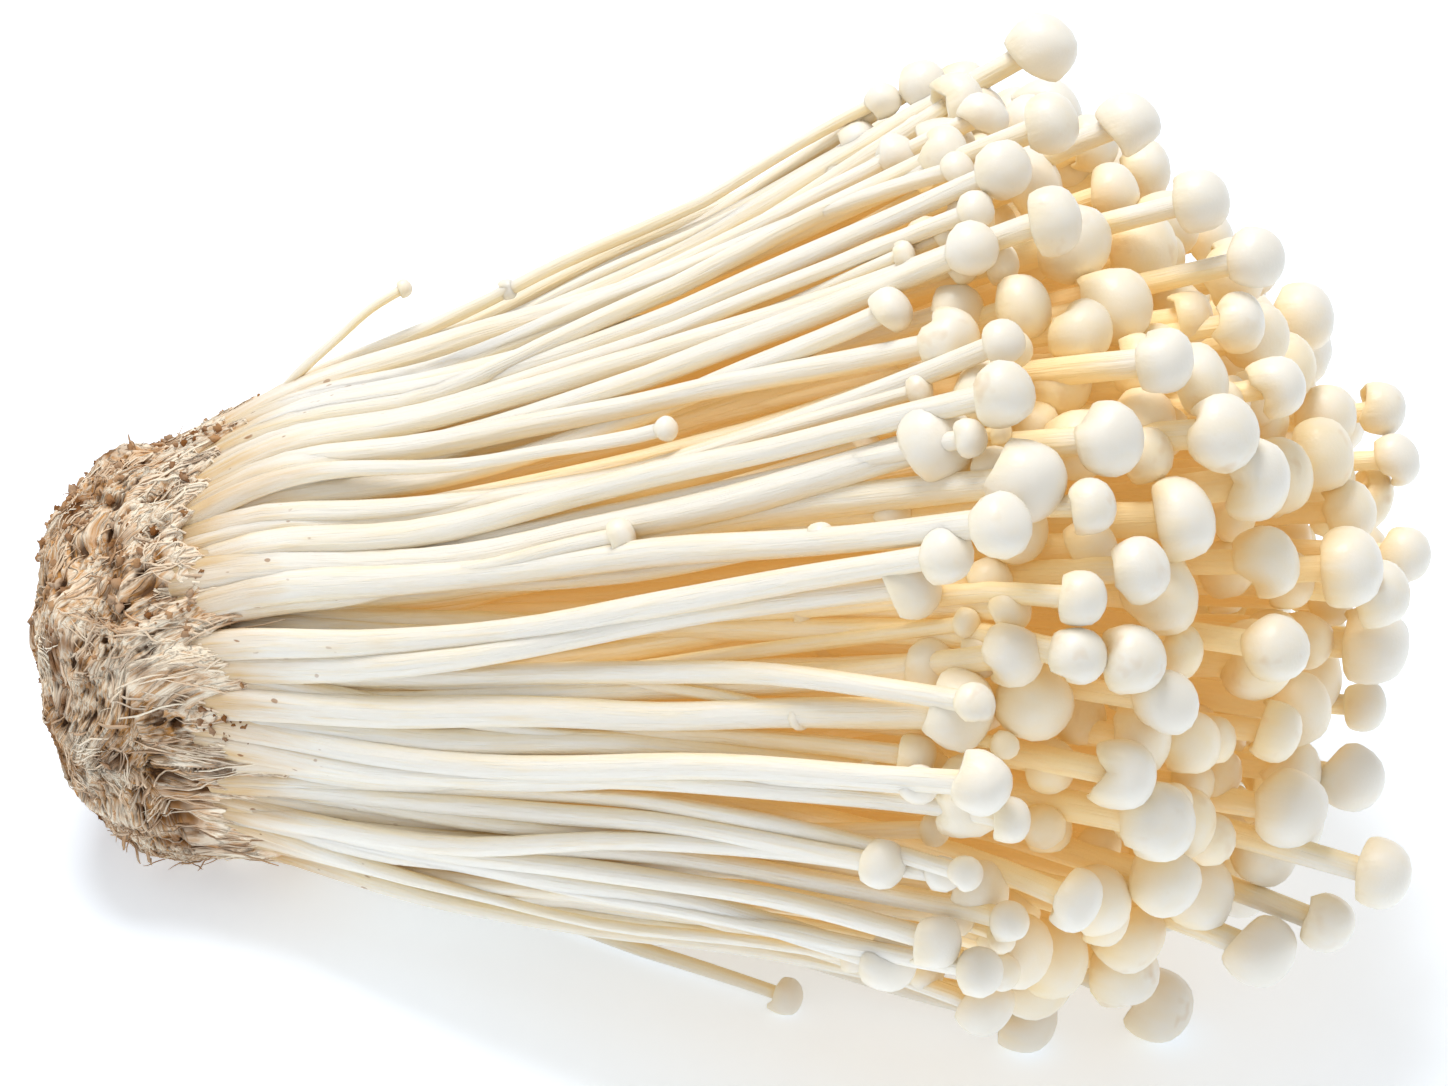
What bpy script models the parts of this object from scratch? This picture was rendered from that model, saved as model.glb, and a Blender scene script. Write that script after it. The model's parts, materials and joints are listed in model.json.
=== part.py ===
"""Enoki mushroom bunch, lying on its side: a block of root mycelium and the mushrooms that grow from it.

Metres, +Z up. +X runs along the bunch, from the root block to the caps. The origin is the middle of the
small flat spot under the root block, on the surface that the bunch lies on.

Places in the bunch are given by reach (how far along it, from the middle of the root block), spread (how
far out from its centre line, 1 being its outside) and clock angle (round it, from +Y over the top).
"""

import math
import random
from dataclasses import dataclass
from itertools import combinations

import bmesh
import bpy
from mathutils import Vector, noise

MM = 0.001

# Root block: a squat turned form with a domed back. Its front is the crown, which the stems leave.
BLOCK_LENGTH = 20.0 * MM
CROWN_RADIUS = 22.0 * MM
CROWN_REACH = 9.0 * MM
CROWN_HEIGHT = 21.0 * MM
BLOCK_TILT = math.radians(14.0)
BLOCK_SIDES = 72
BLOCK_SQUARENESS = 2.7
BACK_ROWS = 10
SIDE_ROWS = 9
REST_REACH = 6.5 * MM
LUMP_HEIGHT = 1.3 * MM
LUMP_SIZE = 6.0 * MM
PIT_DEPTH = 1.6 * MM
PIT_SIZE = 3.4 * MM
CLIMB = 2.4 * MM
CLIMB_WAVES = 4.0
FIT_GAP = 0.4 * MM

# Bunch: the stems spread from the crown to a rim, and the longest reach the tip of a domed front.
RIM_REACH = 92.0 * MM
TIP_REACH = 127.0 * MM
RIM_HALF_WIDTH = 55.0 * MM
RIM_HALF_HEIGHT = 45.0 * MM
RIM_LEAN = 4.0 * MM
CORNER_CLOCK = math.radians(45)
CORNER_SHORT = 10.0 * MM
CORNER_START = 0.6
FLARE = 0.25
SWAY = -5.0 * MM
LEAN_FADE = 45.0 * MM
STEM_SHARE_AT_CROWN = 0.97
FLOOR_CLEARANCE = 3.5 * MM

# Core: the stems that are pressed together, as one fluted body inside the loose ones.
CORE_CLOSE_REACH = 26.0 * MM
CORE_CLOSE_SPREAD = 0.95
FOOT_REACH = 4.0 * MM
FOOT_SPREAD = 0.75
CORE_RIM_SPREAD = 0.62
CORE_TIP_REACH = 104.0 * MM
FLUTES = 20
POINTS_PER_FLUTE = 2
FLUTE_DEPTH = 1.2 * MM

# Mushrooms: the rule places all of them, so that each one built stands where it would in the full bunch.
# The solid takes those set by hand, the rim on the side that they leave free, and some of the others.
SEED = 5200
GOLDEN_ANGLE = math.radians(137.508)
FRONT_COUNT = 128
FRONT_KEPT_ONE_IN = 2
RIM_SPREAD = 0.85
FRONT_JITTER = (-6.0 * MM, 1.5 * MM)
HAND_SET_SIDE = (math.radians(55), math.radians(265))
HAND_SET_REACH = 82.0 * MM
LOW_CLOCK = math.radians(205)
SIDE_COUNT = 64
SIDE_KEPT_ONE_IN = 12
CAP_RADIUS = (3.1 * MM, 4.2 * MM)
SIDE_CAP_RADIUS = (1.7 * MM, 3.0 * MM)
STEM_TO_CAP = (0.36, 0.45)
CAP_PACKING = 0.93
SETTLE_ROUNDS = 24
FLOOR_PRESS = 0.84
FLOOR_SAG = 3.0 * MM
STEM_BOW = 2.0 * MM
STEM_KINK = 0.6 * MM
OUTER_SPREAD = 0.7
OUTER_START = 0.3
SUNK_SHARE = 0.82
OUTER_STEPS = 3
INNER_LENGTH = 40.0 * MM
CAP_OUTLINE = ((-0.35, 0.78), (0.1, 1.0), (0.72, 0.42))

# Mushrooms that stand out of the bunch, set by hand: clock angle round the bunch (90 is up, 180 is -Y),
# reach along it in mm, spread, cap radius in mm, stem radius in mm.
STANDOUTS = (
    (58, 88, 1.06, 3.7, 1.4),
    (58, 76, 1.13, 2.5, 0.9),
    (59, 72, 1.15, 1.9, 0.8),
    (58, 70, 1.07, 2.3, 0.9),
    (60, 68, 1.02, 1.5, 0.7),
    (75, 84, 1.02, 2.6, 1.2),
    (87, 92, 1.01, 3.1, 1.4),
    (81, 99, 0.89, 3.3, 1.3),
    (92, 107, 0.76, 3.3, 1.3),
    (103, 94, 0.98, 3.4, 1.4),
    (96, 113, 0.63, 3.1, 1.3),
    (89, 83, 1.03, 1.9, 1.0),
    (99, 86, 1.03, 2.0, 1.0),
    (101, 79, 1.02, 1.4, 0.8),
    (110, 79, 1.03, 2.4, 1.2),
    (119, 91, 1.01, 2.3, 1.2),
    (119, 106, 0.78, 3.5, 1.5),
    (127, 112, 0.65, 3.9, 1.6),
    (130, 89, 1.03, 1.9, 1.1),
    (130, 102, 0.85, 3.6, 1.6),
    (138, 101, 0.86, 2.7, 1.2),
    (146, 106, 0.77, 3.3, 1.4),
    (149, 101, 0.87, 2.7, 1.2),
    (156, 101, 0.87, 3.0, 1.4),
    (158, 106, 0.77, 3.4, 1.4),
    (160, 92, 1.01, 2.1, 1.2),
    (170, 87, 1.03, 2.0, 1.1),
    (175, 96, 0.97, 2.3, 1.3),
    (175, 106, 0.77, 3.5, 1.4),
    (182, 92, 1.02, 1.8, 1.0),
    (192, 96, 0.96, 2.1, 1.2),
    (202, 110, 0.71, 3.6, 1.6),
    (204, 95, 0.97, 2.0, 1.1),
    (248, 95, 1.06, 3.5, 1.4),
    (254, 108, 1.02, 3.9, 1.4),
    (230, 119, 0.72, 3.8, 1.5),
    (233, 125, 0.65, 3.0, 1.4),
    (225, 130, 0.55, 3.4, 1.5),
    (240, 126, 0.43, 3.5, 1.4),
    (9, 125, 0.21, 2.9, 1.2),
    (351, 127, 0.15, 2.8, 1.2),
    (267, 129, 0.09, 2.9, 1.2),
    (258, 128, 0.23, 2.5, 1.1),
    (262, 126, 0.37, 2.7, 1.2),
    (245, 70, 1.18, 2.0, 0.9),
    (245, 48, 1.03, 1.3, 0.7),
    (134, 54, 1.04, 1.8, 0.9),
    (139, 75, 1.02, 1.5, 0.9),
    (118, 57, 1.03, 1.3, 0.8),
    (61, 37, 1.12, 1.1, 0.7),
    (65, 28, 1.25, 1.0, 0.6),
)


@dataclass
class Mushroom:
    """One mushroom: where its head and its root are, how thick it is, and how its stem strays."""

    reach: float
    spread: float
    clock: float
    root_clock: float
    cap: float
    stem: float
    bow: Vector
    kink: Vector
    head: Vector
    by_hand: bool = False
    kept: bool = True


def mix(a, b, share):
    return a + (b - a) * share


def clamp(value):
    return min(1.0, max(0.0, value))


def smooth(share):
    return share * share * (3 - 2 * share)


# ---------------------------------------------------------------- the bunch's layout


def section(reach):
    """Height of the bunch's centre, and its half width and half height, at a reach along it."""
    share = max(0.0, (reach - CROWN_REACH) / (RIM_REACH - CROWN_REACH))
    opening = mix(share, share * share, FLARE)
    stems_radius = CROWN_RADIUS * STEM_SHARE_AT_CROWN
    half_width = mix(stems_radius, RIM_HALF_WIDTH, opening)
    half_height = mix(stems_radius, RIM_HALF_HEIGHT, opening)
    lifted = share if share < 1 else mix(1.0, share, 0.6)
    centre_height = mix(CROWN_HEIGHT, RIM_HALF_HEIGHT + FLOOR_CLEARANCE, lifted)
    centre_height += min(0.0, reach - CROWN_REACH) * math.tan(BLOCK_TILT)
    return centre_height, half_width, half_height


def in_bunch(reach, spread, clock):
    """The point at a reach, spread and clock angle."""
    centre_height, half_width, half_height = section(reach)
    up = half_height * spread * math.sin(clock)
    lean = math.tan(BLOCK_TILT) * clamp(1 - (reach - CROWN_REACH) / LEAN_FADE)
    sway = SWAY * max(0.0, (reach - CROWN_REACH) / (RIM_REACH - CROWN_REACH))
    return Vector((reach - REST_REACH - lean * up, sway + half_width * spread * math.cos(clock), centre_height + up))


def mushroom_at(number, reach, spread, clock, cap, stem):
    """A mushroom whose stem's strays follow from its number alone."""
    rng = random.Random(SEED + number)
    strays = [rng.uniform(-1, 1) for _ in range(5)]
    return Mushroom(
        reach=reach,
        spread=spread,
        clock=clock,
        root_clock=clock + 0.15 * strays[0],
        cap=cap,
        stem=stem,
        bow=Vector((0, strays[1], strays[2])) * STEM_BOW,
        kink=Vector((0, strays[3], strays[4])) * STEM_KINK,
        head=in_bunch(reach, spread, clock),
    )


def shorter_in_corner(spread, clock):
    """How much shorter the mushrooms are towards the far upper corner of the front."""
    towards = max(0.0, math.cos(clock - CORNER_CLOCK))
    return CORNER_SHORT * towards**2 * min(1.0, spread / CORNER_START)


def in_hand_set_side(clock):
    return HAND_SET_SIDE[0] < clock % (2 * math.pi) < HAND_SET_SIDE[1]


def standouts():
    found = []
    for number, (clock, reach, spread, cap, stem) in enumerate(STANDOUTS):
        found.append(mushroom_at(number, reach * MM, spread, math.radians(clock), cap * MM, stem * MM))
        found[-1].by_hand = True
    return found


def front_mushrooms():
    """The heads of the domed front, in a spiral from its tip to its rim."""
    found = []
    for i in range(FRONT_COUNT):
        rng = random.Random(2 * SEED + i)
        spread = math.sqrt((i + 0.5) / FRONT_COUNT) + rng.uniform(-0.03, 0.03)
        clock = i * GOLDEN_ANGLE + rng.uniform(-0.12, 0.12)
        reach = TIP_REACH - (TIP_REACH - RIM_REACH) * spread**2 + rng.uniform(*FRONT_JITTER)
        reach -= RIM_LEAN * spread * math.sin(clock) + shorter_in_corner(spread, clock)
        cap = rng.uniform(*CAP_RADIUS)
        found.append(mushroom_at(1000 + i, reach, spread, clock, cap, cap * rng.uniform(*STEM_TO_CAP)))
        on_rim = spread > RIM_SPREAD and not in_hand_set_side(clock)
        found[-1].kept = i % FRONT_KEPT_ONE_IN == 0 or on_rim
    return found


def side_mushrooms():
    """The shorter, thinner ones round the outside, whose heads lie on the stems.

    Where mushrooms are set by hand only the longer of these grow, and low on that side none."""
    found = []
    for i in range(SIDE_COUNT):
        rng = random.Random(3 * SEED + i)
        share = rng.random() ** 0.6
        cap = mix(*SIDE_CAP_RADIUS, share) * rng.uniform(0.85, 1.15)
        reach = mix(58, 94, share) * MM
        spread = 1.02 + 0.5 * cap / section(reach)[1]
        clock = i * GOLDEN_ANGLE + rng.uniform(-0.1, 0.1)
        if in_hand_set_side(clock) and (reach < HAND_SET_REACH or clock % (2 * math.pi) > LOW_CLOCK):
            continue
        reach -= shorter_in_corner(spread, clock)
        found.append(mushroom_at(2000 + i, reach, spread, clock, cap, cap * rng.uniform(0.4, 0.5)))
        found[-1].kept = i % SIDE_KEPT_ONE_IN == 0
    return found


def settle(mushrooms):
    """Pushes apart caps that would run into each other, past those set by hand. Low ones sag to the floor."""
    for _ in range(SETTLE_ROUNDS):
        for a, b in combinations(mushrooms, 2):
            apart = b.head - a.head
            short = (a.cap + b.cap) * CAP_PACKING - apart.length
            if short <= 0:
                continue
            push = apart.normalized() * short / 2
            if not a.by_hand:
                a.head -= push * (2 if b.by_hand else 1)
            if not b.by_hand:
                b.head += push * (2 if a.by_hand else 1)
        for mushroom in mushrooms:
            if mushroom.head.z < mushroom.cap + FLOOR_SAG:
                mushroom.head.z = mushroom.cap * FLOOR_PRESS


def all_mushrooms():
    """Every mushroom of the bunch. One of the rule gives way where it would stand in one set by hand."""
    by_hand = standouts()
    by_rule = [
        m
        for m in front_mushrooms() + side_mushrooms()
        if all((m.head - s.head).length > 0.7 * (m.cap + s.cap) for s in by_hand)
    ]
    settle(by_hand + by_rule)
    return by_hand + by_rule


def stem_point(mushroom, share):
    """A point on a stem's centre line, from its root in the crown at 0 to its head at 1."""
    root_spread = min(0.95, mushroom.spread)
    spread = mix(root_spread, mushroom.spread, smooth(share))
    clock = mix(mushroom.root_clock, mushroom.clock, share)
    point = in_bunch(mix(CROWN_REACH, mushroom.reach, share), spread, clock)
    settled = mushroom.head - in_bunch(mushroom.reach, mushroom.spread, mushroom.clock)
    point += settled * smooth(share)
    point += mushroom.bow * math.sin(math.pi * share) + mushroom.kink * math.sin(2 * math.pi * share)
    point.z = max(point.z, mushroom.stem)
    return point


def core_spread(reach):
    """How far out the core comes: a tapered foot, then close under the outer stems, then set back."""
    if reach < CROWN_REACH:
        return mix(FOOT_SPREAD, CORE_CLOSE_SPREAD, (reach - FOOT_REACH) / (CROWN_REACH - FOOT_REACH))
    share = clamp((reach - CORE_CLOSE_REACH) / (RIM_REACH - CORE_CLOSE_REACH))
    return mix(CORE_CLOSE_SPREAD, CORE_RIM_SPREAD, smooth(share))


def climb(clock):
    """How far past the crown the mycelium climbs the stems at a clock angle."""
    place = Vector((math.cos(clock), math.sin(clock), 0.3)) * CLIMB_WAVES
    return CLIMB * (0.3 + noise.noise(place) + 0.5 * noise.noise(place * 2.7))


# ---------------------------------------------------------------- Blender helpers


def clear_scene():
    for obj in list(bpy.data.objects):
        bpy.data.objects.remove(obj)


def collection(name):
    made = bpy.data.collections.new(name)
    bpy.context.scene.collection.children.link(made)
    return made


def material(name, colour, roughness):
    made = bpy.data.materials.new(name)
    made.use_nodes = True
    shader = made.node_tree.nodes["Principled BSDF"]
    shader.inputs["Base Color"].default_value = (*colour, 1.0)
    shader.inputs["Roughness"].default_value = roughness
    shader.inputs["Metallic"].default_value = 0.0
    return made


def solid(name, mesh, home):
    made = bpy.data.objects.new(name, mesh)
    home.objects.link(made)
    return made


def as_solid(obj, home):
    """The object's evaluated shape as a closed mesh object of the same name. The object is removed."""
    bpy.context.view_layer.update()
    mesh = bpy.data.meshes.new_from_object(obj.evaluated_get(bpy.context.evaluated_depsgraph_get()))
    name, placed = obj.name, obj.matrix_world.copy()
    bpy.data.objects.remove(obj)
    bm = bmesh.new()
    bm.from_mesh(mesh)
    bmesh.ops.remove_doubles(bm, verts=bm.verts, dist=0.01 * MM)
    bmesh.ops.recalc_face_normals(bm, faces=bm.faces)
    bm.to_mesh(mesh)
    bm.free()
    made = solid(name, mesh, home)
    made.matrix_world = placed
    return made


def turned(name, outline, sides, home):
    """A closed body turned round X from (along, out) points, which start and end on the axis."""
    mesh = bpy.data.meshes.new(name)
    points = [(along, 0.0, out) for along, out in outline]
    mesh.from_pydata(points, [(i, i + 1) for i in range(len(points) - 1)], [])
    profile = solid(name, mesh, home)
    screw = profile.modifiers.new("Turn", "SCREW")
    screw.axis = "X"
    screw.steps = screw.render_steps = sides
    screw.use_merge_vertices = True
    screw.merge_threshold = 0.00001
    return as_solid(profile, home)


def turned_in_bunch(name, outline, sides, home):
    """A turned body of (reach, spread) points, laid along the bunch."""
    made = turned(name, outline, sides, home)
    for vert in made.data.vertices:
        vert.co = in_bunch(vert.co.x, math.hypot(vert.co.y, vert.co.z), math.atan2(vert.co.z, vert.co.y))
    return made


def fuse(obj, others):
    """Unites obj with every object of a collection, applies that, and removes those objects."""
    join = obj.modifiers.new("Fuse", "BOOLEAN")
    join.operation = "UNION"
    join.operand_type = "COLLECTION"
    join.collection = others
    join.solver = "MANIFOLD"
    bpy.context.view_layer.objects.active = obj
    bpy.ops.object.modifier_apply(modifier=join.name)
    for other in list(others.objects):
        bpy.data.objects.remove(other)


def cut(obj, cutter):
    """Takes the cutter out of obj with a Boolean that stays live."""
    away = obj.modifiers.new(f"Cut {cutter.name}", "BOOLEAN")
    away.operation = "DIFFERENCE"
    away.object = cutter
    cutter.hide_render = True
    cutter.display_type = "WIRE"


# ---------------------------------------------------------------- mushrooms


def fluted_core(home):
    """The pressed stems: a body along the bunch with a foot in the block, drawn in between its flutes."""
    rows = [FOOT_REACH, CROWN_REACH]
    rows += [mix(CROWN_REACH, RIM_REACH, share) for share in (0.12, 0.26, 0.44, 0.64, 0.84)]
    dome = [
        (mix(rows[-1], CORE_TIP_REACH, math.sin(angle)), core_spread(rows[-1]) * math.cos(angle))
        for angle in (0.45, 0.85, 1.2)
    ]
    outline = [(FOOT_REACH, 0.0)] + [(reach, core_spread(reach)) for reach in rows] + dome
    outline.append((CORE_TIP_REACH, 0.0))
    core = turned("mushrooms", outline[::-1], FLUTES * POINTS_PER_FLUTE, home)
    for vert in core.data.vertices:
        reach, spread = vert.co.x, math.hypot(vert.co.y, vert.co.z)
        clock = math.atan2(vert.co.z, vert.co.y)
        drawn_in = FLUTE_DEPTH * (1 - abs(math.cos(clock * FLUTES / 2))) / section(reach)[1]
        vert.co = in_bunch(reach, max(0.0, spread - drawn_in), clock)
    return core


def mushroom_path(mushroom):
    """The part of a stem's centre line that is modelled, from a point sunk in the core to the head."""
    outer = mushroom.spread > OUTER_SPREAD
    reach = mix(CROWN_REACH, mushroom.reach, OUTER_START) if outer else mushroom.reach - INNER_LENGTH
    path = [in_bunch(reach, min(mushroom.spread, SUNK_SHARE * core_spread(reach)), mushroom.root_clock)]
    if outer:
        path += [stem_point(mushroom, mix(OUTER_START, 1.0, i / OUTER_STEPS)) for i in range(1, OUTER_STEPS)]
    return path + [mushroom.head]


def mushroom_solid(mushroom, home):
    """One mushroom as a bevelled curve, whose width follows its stem and then the outline of its cap."""
    path = mushroom_path(mushroom)
    head = path.pop()
    way = (head - path[-1]).normalized()
    rows = [(point, mushroom.stem) for point in path]
    rows.append((head + way * mushroom.cap * (CAP_OUTLINE[0][0] - 0.05), mushroom.stem))
    for along, out in CAP_OUTLINE:
        rows.append((head + way * mushroom.cap * along, mushroom.cap * out))
    data = bpy.data.curves.new("Mushroom", "CURVE")
    data.dimensions = "3D"
    data.bevel_depth = 1.0
    data.bevel_resolution = 1
    data.use_fill_caps = True
    spline = data.splines.new("POLY")
    spline.points.add(len(rows) - 1)
    for place, (point, radius) in zip(spline.points, rows):
        place.co = (*point, 1.0)
        place.radius = radius
    curve = bpy.data.objects.new("Mushroom", data)
    home.objects.link(curve)
    made = as_solid(curve, home)
    for vert in made.data.vertices:
        vert.co.z = max(vert.co.z, 0.0)
    return made


def build_mushrooms(home):
    """The mushrooms as one body: the fluted core, and every loose stem with its cap."""
    loose = collection("Loose mushrooms")
    core = fluted_core(home)
    for mushroom in all_mushrooms():
        if mushroom.kept:
            mushroom_solid(mushroom, loose)
    fuse(core, loose)
    core.data.shade_smooth()
    core.data.materials.clear()
    core.data.materials.append(material("Mushroom white", (0.90, 0.84, 0.72), 0.45))
    return core


# ---------------------------------------------------------------- root block


def block_outline():
    """The block from the axis at its crown to the axis at its back: a straight side into a domed back."""
    side_length = 0.35 * BLOCK_LENGTH
    points = [(0.0, 0.0)]
    points += [(-side_length * i / SIDE_ROWS, CROWN_RADIUS) for i in range(SIDE_ROWS)]
    power = 2 / BLOCK_SQUARENESS
    for i in range(BACK_ROWS):
        angle = math.pi / 2 * i / BACK_ROWS
        along = side_length + (BLOCK_LENGTH - side_length) * math.sin(angle) ** power
        points.append((-along, CROWN_RADIUS * math.cos(angle) ** power))
    return points + [(-BLOCK_LENGTH, 0.0)]


def relief(point):
    """How far the block's surface stands out at a point: soft lumps, less the pits between its fibres."""
    nearest = noise.voronoi(point / PIT_SIZE)[0][0]
    pit = clamp(1 - nearest / 0.45)
    return LUMP_HEIGHT * noise.noise(point / LUMP_SIZE) - PIT_DEPTH * pit


def build_root_block(home, cutters):
    """The mycelium block, with a socket in its crown for the stems' foot and a flat spot to rest on."""
    block = turned("root_block", block_outline(), BLOCK_SIDES, home)
    middle = Vector((-0.4 * BLOCK_LENGTH, 0, 0))
    for vert in block.data.vertices:
        height = CROWN_HEIGHT + vert.co.x * math.sin(BLOCK_TILT) + vert.co.z * math.cos(BLOCK_TILT)
        above_floor = smooth(clamp(height / (5 * MM)))
        behind_crown = clamp(-vert.co.x / (2 * MM))
        clock = math.atan2(vert.co.z, vert.co.y)
        rim = clamp(1 + vert.co.x / (6 * MM)) * math.hypot(vert.co.y, vert.co.z) / CROWN_RADIUS
        raised = (vert.co - middle).normalized() * relief(vert.co) * above_floor * behind_crown
        vert.co += raised + Vector((climb(clock) * rim, 0, 0))
    block.location = (CROWN_REACH - REST_REACH, 0, CROWN_HEIGHT)
    block.rotation_euler = (0, -BLOCK_TILT, 0)
    gap = FIT_GAP / (CROWN_RADIUS * STEM_SHARE_AT_CROWN)
    rows = (CROWN_REACH + 3 * CLIMB, CROWN_REACH, FOOT_REACH)
    walls = [(reach - FIT_GAP, core_spread(reach) + gap) for reach in rows]
    outline = [(walls[0][0], 0.0)] + walls + [(walls[-1][0], 0.0)]
    cut(block, turned_in_bunch("Socket cutter", outline, FLUTES * POINTS_PER_FLUTE, cutters))
    cut(block, floor_cutter(cutters))
    block.data.shade_smooth()
    block.data.materials.append(material("Mycelium and substrate", (0.60, 0.46, 0.32), 0.9))
    return block


def floor_cutter(home):
    """A box whose top is the surface that the bunch lies on."""
    depth = 20 * MM
    bm = bmesh.new()
    bmesh.ops.create_cube(bm, size=1.0)
    bmesh.ops.scale(bm, vec=(4 * BLOCK_LENGTH, 4 * CROWN_RADIUS, depth), verts=bm.verts)
    bmesh.ops.translate(bm, vec=(0, 0, -depth / 2), verts=bm.verts)
    mesh = bpy.data.meshes.new("Floor cutter")
    bm.to_mesh(mesh)
    bm.free()
    return solid("Floor cutter", mesh, home)


def main():
    clear_scene()
    bunch = collection("Enoki bunch")
    cutters = collection("Cutters")
    build_mushrooms(bunch)
    build_root_block(bunch, cutters)


main()
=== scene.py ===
"""Enoki mushroom bunch: how it looks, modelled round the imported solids.

Laid out as a Blender add-on and run as a script. Metres, +Z up, +X along the bunch from the root block to the
caps. Places in the bunch are given by reach (how far along it), spread (how far out from its centre line, 1 being
its outside) and clock angle (round it, from +Y over the top). Every mushroom of the solids stands here too, in the
same place, and smaller ones fill the bunch between them.
"""

import functools
import json
import math
import random
from dataclasses import dataclass
from itertools import combinations

import bpy
import numpy as np
from bpy.props import FloatProperty, FloatVectorProperty, IntProperty, PointerProperty
from mathutils import Matrix, Quaternion, Vector, noise

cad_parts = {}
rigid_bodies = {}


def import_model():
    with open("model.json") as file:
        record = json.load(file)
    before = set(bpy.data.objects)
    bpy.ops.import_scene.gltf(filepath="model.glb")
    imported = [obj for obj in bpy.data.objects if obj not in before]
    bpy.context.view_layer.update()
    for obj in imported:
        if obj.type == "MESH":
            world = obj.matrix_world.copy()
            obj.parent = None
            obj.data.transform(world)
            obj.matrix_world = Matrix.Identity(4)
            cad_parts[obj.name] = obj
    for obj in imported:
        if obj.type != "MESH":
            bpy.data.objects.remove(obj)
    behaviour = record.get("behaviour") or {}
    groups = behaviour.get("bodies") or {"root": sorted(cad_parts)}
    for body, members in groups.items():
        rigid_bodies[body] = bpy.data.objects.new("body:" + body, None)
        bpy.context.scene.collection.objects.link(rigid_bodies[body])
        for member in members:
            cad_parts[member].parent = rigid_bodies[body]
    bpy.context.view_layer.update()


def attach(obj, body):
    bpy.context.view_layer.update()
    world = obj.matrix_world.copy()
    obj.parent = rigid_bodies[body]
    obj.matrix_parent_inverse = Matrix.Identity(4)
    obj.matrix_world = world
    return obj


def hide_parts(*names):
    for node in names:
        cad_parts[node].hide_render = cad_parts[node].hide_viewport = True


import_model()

bl_info = {
    "name": "Enoki Mushroom Bunch",
    "version": (1, 0, 0),
    "blender": (4, 5, 0),
    "location": "View3D > Sidebar > Enoki",
    "description": "Models a bunch of enoki mushrooms with its root block, lying on a pale floor",
    "category": "Object",
}

MM = 0.001
BODY = "root"

# ---------------------------------------------------------------- settings


def length(name, value, description):
    return FloatProperty(name=name, description=description, default=value, unit="LENGTH")


def colour(name, value, description):
    return FloatVectorProperty(name=name, description=description, default=value, subtype="COLOR", min=0, max=1)


class BunchSize(bpy.types.PropertyGroup):
    """The bunch's overall sizes, the same as the solids have, and how many mushrooms it holds."""

    crown_reach: length("Crown reach", 9.0 * MM, "Where the stems leave the root block")
    crown_height: length("Crown height", 21.0 * MM, "Height of the crown's centre")
    crown_radius: length("Crown radius", 22.0 * MM, "Radius of the root block at its crown")
    block_length: length("Block length", 20.0 * MM, "Length of the root block behind the crown")
    block_tilt: FloatProperty(name="Block tilt", description="How far the root block leans back",
                              default=math.radians(14.0), subtype="ANGLE")
    rim_reach: length("Rim reach", 92.0 * MM, "How far along the rim of the domed front lies")
    tip_reach: length("Tip reach", 127.0 * MM, "How far along the tip of the domed front lies")
    rim_half_width: length("Rim half width", 55.0 * MM, "Half the bunch's width at the rim")
    rim_half_height: length("Rim half height", 45.0 * MM, "Half the bunch's height at the rim")
    front_count: IntProperty(name="Front mushrooms", description="Those whose caps make the domed front", default=128)
    side_count: IntProperty(name="Side mushrooms", description="Shorter ones round the outside", default=64)
    inner_count: IntProperty(name="Inner mushrooms", description="Smaller ones between and under those of the front",
                             default=200)
    rim_count: IntProperty(name="Rim mushrooms", description="Smaller ones that close the outside", default=150)


class FleshFinish(bpy.types.PropertyGroup):
    """Colours of the stems and caps."""

    white: colour("White", (0.905, 0.86, 0.77), "Flesh in the open")
    # Painted shade: the next two are the colours of the shade deep in the bunch, on the sides of the stems that face
    # into it and round the undersides of the caps. The first is also the colour of the streaks.
    cream_shade_and_streaks: colour("Cream", (0.94, 0.79, 0.52), "Flesh that is turned in, and its streaks")
    golden_shade: colour("Golden", (0.94, 0.745, 0.42), "Flesh deep in the bunch")
    glow: colour("Glow", (0.12, 0.078, 0.027), "Light that comes through the stems, deep in the bunch")
    stain: colour("Stain", (0.66, 0.42, 0.17), "Yellow-brown stain near the root")
    speck: colour("Speck", (0.34, 0.15, 0.045), "Brown specks")


class MyceliumFinish(bpy.types.PropertyGroup):
    """Colours of the root block."""

    fibre: colour("Fibre", (1.0, 0.88, 0.70), "Clean mycelium fibres")
    # Tan is stained mycelium, and it is also painted shade where the felt lies low and on the side of each strand
    # that faces the block.
    tan: colour("Tan", (0.64, 0.31, 0.09), "Stained mycelium")
    brown: colour("Brown", (0.24, 0.095, 0.025), "Bran and crumbs of substrate")
    # Pit is painted shade: near black in the pores and where the felt lies lowest.
    pit: colour("Pit", (0.07, 0.028, 0.01), "The bottoms of the pits")


# ---------------------------------------------------------------- the bunch's layout

REST_REACH = 6.5 * MM
RIM_LEAN = 4.0 * MM
CORNER_CLOCK = math.radians(45)
CORNER_SHORT = 10.0 * MM
CORNER_START = 0.6
FLARE = 0.25
SWAY = -5.0 * MM
LEAN_FADE = 45.0 * MM
STEM_SHARE_AT_CROWN = 0.97
FLOOR_CLEARANCE = 3.5 * MM
FULL_DEPTH = 13.0 * MM
FRONT_SKIN = 2.0 * MM
ROOT_SPREAD = 0.95

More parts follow.
